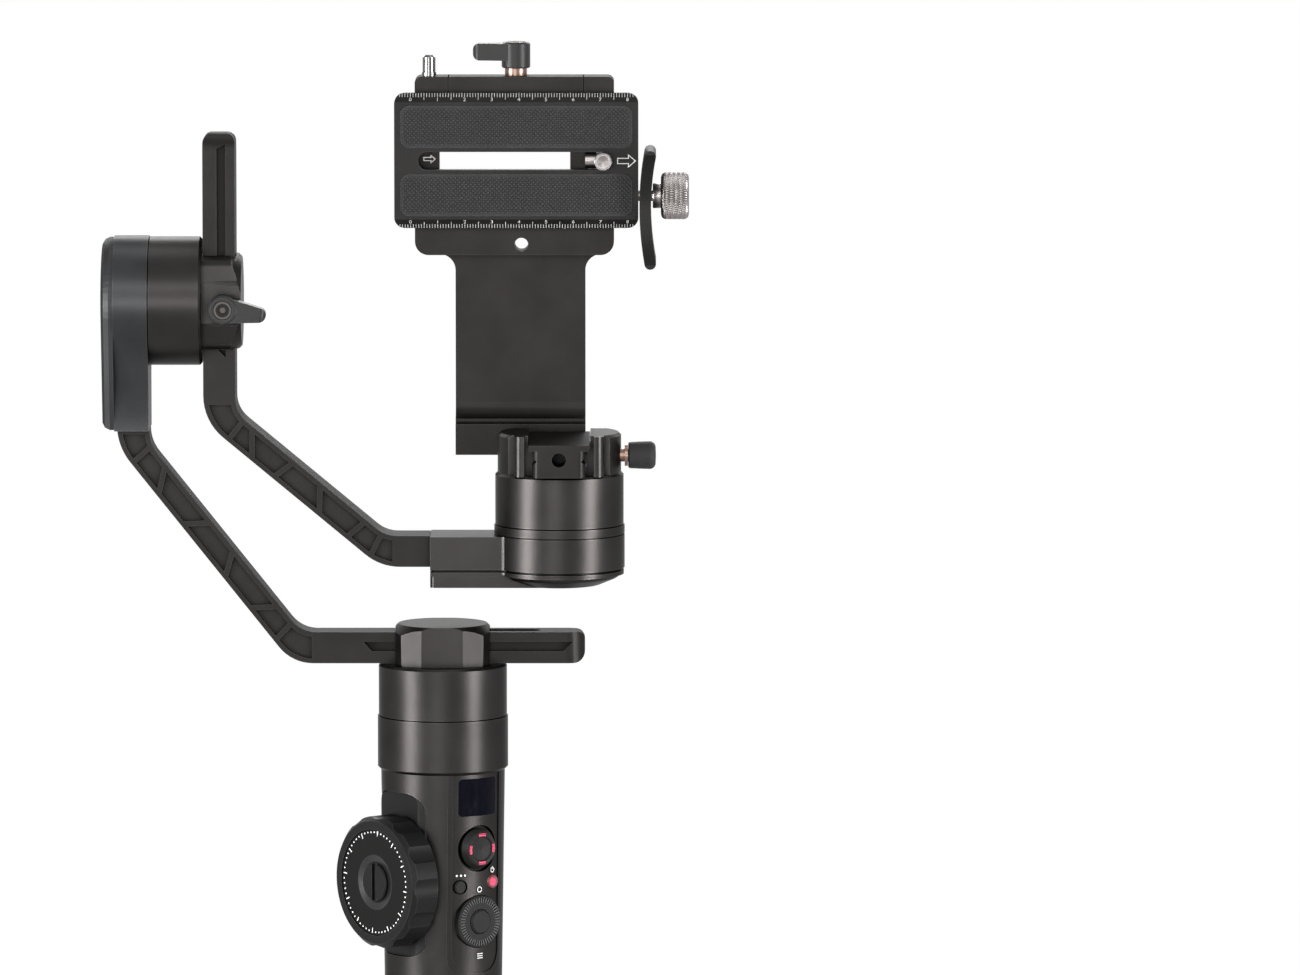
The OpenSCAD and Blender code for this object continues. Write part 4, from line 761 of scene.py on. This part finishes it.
# Lit bars on the four-way pad, and plain signs by the power button, the mode button and the menu dial;
# a sign lies at x across the panel, and rises from the middle of its button or dial
barLook = {"inner": 4.75, "outer": 5.75, "halfTurn": 17.0, "inset": 0.13, "low": -0.5, "high": 0.1}
signLook = {
    "footRadius": 21.65, "low": -0.1, "high": 0.03,
    "power": {
        "x": 6.6, "rise": 4.4, "inner": 0.75, "outer": 1.1, "halfGap": 35, "stroke": (0.34, 1.0, 0.0, 0.75),
    },
    "mode": {"x": -7.6, "rise": 4.3, "dot": 0.42, "dotSides": 12, "pitch": 1.5},
    "menu": {"x": 0.4, "rise": -12.8, "dash": (0.84, 0.32), "pitchX": 0.82, "pitchY": 0.8},
    "view": {"x": 0.0, "rise": 11.9, "inner": 0.8, "outer": 1.1, "turn": 350},
    "arcSteps": 18,
}
neckFoot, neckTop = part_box("grip_sleeve")[1].z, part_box("grip_housing")[1]


# Follows the round of the grip, which widens evenly from the sleeve up
def onPanel(x, height):
    foot = signLook["footRadius"] * mm
    radius = foot + (neckTop.x - foot) * (height - neckFoot) / (neckTop.z - neckFoot)
    return gripPlane(gripTurns["panel"] + math.degrees(math.asin(x * mm / radius)), height, radius)


def addPadLamps():
    look = barLook
    bm = bmesh.new()
    turn = gripTurns["panel"]
    place = gripPlane(turn, centreOf("direction_pad").z, faceOf("direction_pad", turn) - look["inset"] * mm)
    for middle in (0, 90, 180, 270):
        lit = arc(look["inner"], look["outer"], middle - look["halfTurn"], middle + look["halfTurn"])
        slab(bm, lit, look["low"], look["high"], place)
    addPiece("padLamps", bm, "redLamp", "direction_pad")


def addPanelSigns():
    bm = bmesh.new()

    def sign(name, node, outline, dx=0.0, dy=0.0):
        look = signLook[name]
        height = centreOf(node).z + (look["rise"] + dy) * mm
        slab(bm, outline, signLook["low"], signLook["high"], onPanel(look["x"] + dx, height))

    look = signLook["power"]
    start, end = 90 + look["halfGap"], 450 - look["halfGap"]
    sign("power", "power_button", arc(look["inner"], look["outer"], start, end, signLook["arcSteps"]))
    sign("power", "power_button", bar(*look["stroke"]))
    look = signLook["mode"]
    for i in (-1, 0, 1):
        sign("mode", "mode_button", disc(look["dot"], look["dotSides"]), look["pitch"] * i)
    look = signLook["menu"]
    for i in (-1, 0, 1):
        for k in (-1, 0, 1):
            sign("menu", "menu_dial", bar(*look["dash"]), look["pitchX"] * k, look["pitchY"] * i)
    look = signLook["view"]
    sign("view", "menu_dial", arc(look["inner"], look["outer"], 0, look["turn"], signLook["arcSteps"]))
    addPiece("panelSigns", bm, "whiteInk", "grip")


addPadLamps()
addPanelSigns()

# Fine ribs round the rim of the menu dial, as thin lighter strips: a painted highlight on the rib crests
ribLook = {"count": 48, "inner": 7.0, "outer": 8.9, "width": 0.24, "proud": 0.04}


def addDialRibs():
    look = ribLook
    turn = gripTurns["panel"]
    place = gripPlane(turn, centreOf("menu_dial").z, faceOf("menu_dial", turn))
    rib = bar(look["outer"] - look["inner"], look["width"], (look["inner"] + look["outer"]) / 2)
    bm = bmesh.new()
    for i in range(look["count"]):
        step = Matrix.Rotation(2 * math.pi * (i + 0.5) / look["count"], 4, "Z")
        slab(bm, rib, -look["proud"], look["proud"], place @ step)
    addPiece("dialRibs", bm, "ribPaintedHighlight", "menu_dial")


addDialRibs()
print("grip dressed")

# The camera screw's turned tip: a bright rim, a groove and a low cone cut with fine rings
tipLook = {
    "sides": 64, "rim": [(3.1, -0.1), (3.1, 0.12), (2.95, 0.22), (2.72, 0.22), (2.6, 0.1), (2.6, -0.1)],
    "cone": 2.25, "coneHeight": 0.34, "steps": 9, "stepWidth": 0.8, "cut": 0.05, "sink": 0.1, "point": 0.08,
}


def addScrewTip():
    look = tipLook
    centre = centreOf("camera_screw")
    place = frontPlane(centre.x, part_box("camera_screw")[0].y, centre.z)

    def ring(bm, radius, depth):
        return [bm.verts.new(place @ Vector((*point, depth))) for point in disc(radius, look["sides"])]

    bm = bmesh.new()
    rings = [ring(bm, radius, depth) for radius, depth in look["rim"]]
    for a, b in zip(rings, rings[1:] + rings[:1]):
        joinRings(bm, a, b)
    addPiece("screwRim", bm, "chrome", "camera_screw", 30)

    bm = bmesh.new()
    step = look["cone"] / look["steps"]
    profile = [(look["cone"], -look["sink"])]
    for k in range(look["steps"]):
        radius = look["cone"] - step * k
        height = look["coneHeight"] * k / look["steps"]
        inner = max(look["point"], radius - look["stepWidth"] * step)
        profile += [(radius, height + look["cut"]), (inner, height)]
    skin(bm, [ring(bm, radius, depth) for radius, depth in profile])
    addPiece("screwCone", bm, "steel", "camera_screw")


addScrewTip()

# Knurled thumb screw, with crossed grooves cut into its head; profiles are (along, radius) from the collar.
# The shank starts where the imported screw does.
thumbLook = {
    "shank": 1.98, "stem": [(0.0, 1.98), (0.0, 4.35), (0.3, 4.6), (3.0, 4.6), (3.1, 4.7), (3.0, 6.6)],
    "start": 3.0, "end": 13.4, "radius": 8.65, "ease": 1.9, "around": 360, "along": 34,
    "grooves": 60, "lead": 0.36, "leadPitch": 1.25, "depth": 0.26, "sharp": 1.5, "runOut": 0.8,
    "face": [(13.4, 6.3), (12.9, 5.7), (12.8, 0.6)],
}


# How deep the crossed grooves are at a point of the head, from 0 to 1
def knurl(look, x, angle):
    along = x * look["lead"] * 2 * math.pi / look["leadPitch"]
    waves = (math.cos(look["grooves"] * angle + along), math.cos(look["grooves"] * angle - along))
    return max(max(0.0, wave) ** look["sharp"] for wave in waves)


def addThumbScrew():
    look = thumbLook
    low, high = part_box("thumb_screw")
    centre = (low + high) / 2
    origin = Vector((high.x - look["end"] * mm, centre.y, centre.z))
    bm = bmesh.new()

    def ring(x, radius, cut=0.0):
        row = []
        for i in range(look["around"]):
            angle = 2 * math.pi * i / look["around"]
            r = radius - (look["depth"] * knurl(look, x, angle) * cut if cut else 0.0)
            row.append(bm.verts.new(origin + Vector((x, r * math.cos(angle), r * math.sin(angle))) * mm))
        return row

    rings = [ring((low.x - origin.x) / mm, look["shank"])]
    rings += [ring(x, radius) for x, radius in look["stem"]]
    for k in range(look["along"] + 1):
        x = look["start"] + (look["end"] - look["start"]) * k / look["along"]
        near = min(x - look["start"], look["end"] - x)
        swell = math.sqrt(max(0.0, 1 - (1 - min(1.0, near / look["ease"])) ** 2))
        radius = look["radius"] - look["ease"] * (1 - swell)
        rings.append(ring(x, radius, min(1.0, near / look["runOut"])))
    rings += [ring(x, radius) for x, radius in look["face"]]
    skin(bm, rings)
    piece = addPiece("thumbScrew", bm, "steel", "thumb_screw", 40)
    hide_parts("thumb_screw")


addThumbScrew()
print("thumb screw knurled")

# Studio, in metres: pale floor, soft lamps, and a white surround for the camera, gloss and glass
studio = {
    "fill": 0.18, "floorRadius": 30.0, "paper": ((0.88, 0.88, 0.88), (0.92, 0.92, 0.92)),
    "near": 0.35, "far": 0.95, "keep": 0.72, "aim": (0.02, 0.0, 0.27),
    "lamps": {
        "leftKey": {"at": (-1.36, -0.85, 0.28), "size": (0.5, 0.5), "power": 36.0},
        "rightKey": {"at": (1.36, -0.85, 0.28), "size": (0.45, 0.5), "power": 29.0},
        "frontLow": {"at": (-0.7, -4.6, 0.5), "size": (2.0, 0.9), "power": 62.0},
        "frontHigh": {"at": (0.0, -1.9, 1.4), "size": (1.2, 0.4), "power": 11.0},
        "topBox": {"at": (0.1, 0.3, 1.8), "size": (1.0, 0.6), "power": 5.0},
        "backBox": {"at": (0.0, 1.5, 1.12), "size": (1.8, 0.5), "power": 26.0},
    },
}


# 1 for what the camera, gloss and glass see; 0 for the light that falls on the object
def seenByEye(s):
    kinds = ("Is Camera Ray", "Is Glossy Ray", "Is Transmission Ray")
    rays = [s.node("LightPath", output=kind) for kind in kinds]
    return s.maths("MAXIMUM", s.maths("MAXIMUM", rays[0], rays[1]), rays[2])


def buildWorld():
    world = bpy.data.worlds.new("studio")
    bpy.context.scene.world = world
    s = Shader("studio", world)
    strength = seenByEye(s) * (1 - studio["fill"]) + studio["fill"]
    white = s.node("Background", None, {"Color": (1.0, 1.0, 1.0), "Strength": strength})
    s.node("OutputWorld", None, {"Surface": white})


# Paper that catches the object's shadow near it and fades into the white surround further out
def buildFloor():
    s = Shader("floorPaper")
    paper = s.node("BsdfDiffuse", None, {"Color": s.blend(s.noise(300.0), *studio["paper"])})
    glow = s.node("Emission", None, {"Color": (1.0, 1.0, 1.0), "Strength": 1.0})
    flat = s.node("VectorMath", {"operation": "MULTIPLY"}, {0: s.place, 1: (1, 1, 0)})
    reach = s.node("VectorMath", {"operation": "LENGTH"}, {0: flat}, "Value")
    away = s.node("MapRange", {"interpolation_type": "SMOOTHSTEP"}, {
        "Value": reach, "From Min": studio["near"], "From Max": studio["far"], "To Min": studio["keep"],
        "To Max": 1.0,
    })
    surface = s.node("MixShader", None, {0: seenByEye(s) * away, 1: paper, 2: glow})
    s.node("OutputMaterial", None, {"Surface": surface})
    bm = bmesh.new()
    bmesh.ops.create_circle(bm, cap_ends=True, segments=96, radius=studio["floorRadius"])
    mesh = bpy.data.meshes.new("floor")
    bm.to_mesh(mesh)
    bm.free()
    floor = bpy.data.objects.new("floor", mesh)
    floor.location.z = cadBounds[0][2]
    bpy.context.scene.collection.objects.link(floor)
    mesh.materials.append(s.material)


def addLamps():
    for name, look in studio["lamps"].items():
        lamp = bpy.data.lights.new(name, "AREA")
        lamp.shape = "RECTANGLE"
        lamp.size, lamp.size_y = look["size"]
        lamp.energy = look["power"]
        holder = bpy.data.objects.new(name, lamp)
        holder.location = look["at"]
        aim = Vector(studio["aim"]) - Vector(look["at"])
        holder.rotation_euler = aim.to_track_quat("-Z", "Y").to_euler()
        bpy.context.scene.collection.objects.link(holder)


# The camera looks at the target from the front, lifted by some degrees, and sees a span of the object
cameraLook = {"target": (0.0763, 0.0, 0.279), "distance": 4.0, "lift": 6.1, "span": 0.478, "sensor": 36.0}


def addCamera():
    look = cameraLook
    lens = bpy.data.cameras.new("camera")
    lens.sensor_width = look["sensor"]
    lens.lens = look["sensor"] * look["distance"] / look["span"]
    lens.clip_end = 100.0
    camera = bpy.data.objects.new("camera", lens)
    lift = math.radians(look["lift"])
    back = Vector((0, -math.cos(lift), math.sin(lift)))
    camera.location = Vector(look["target"]) + back * look["distance"]
    camera.rotation_euler = (-back).to_track_quat("-Z", "Y").to_euler()
    bpy.context.scene.collection.objects.link(camera)
    bpy.context.scene.camera = camera


buildWorld()
buildFloor()
addLamps()
addCamera()
bpy.context.scene.view_settings.view_transform = "Standard"
print("studio set")
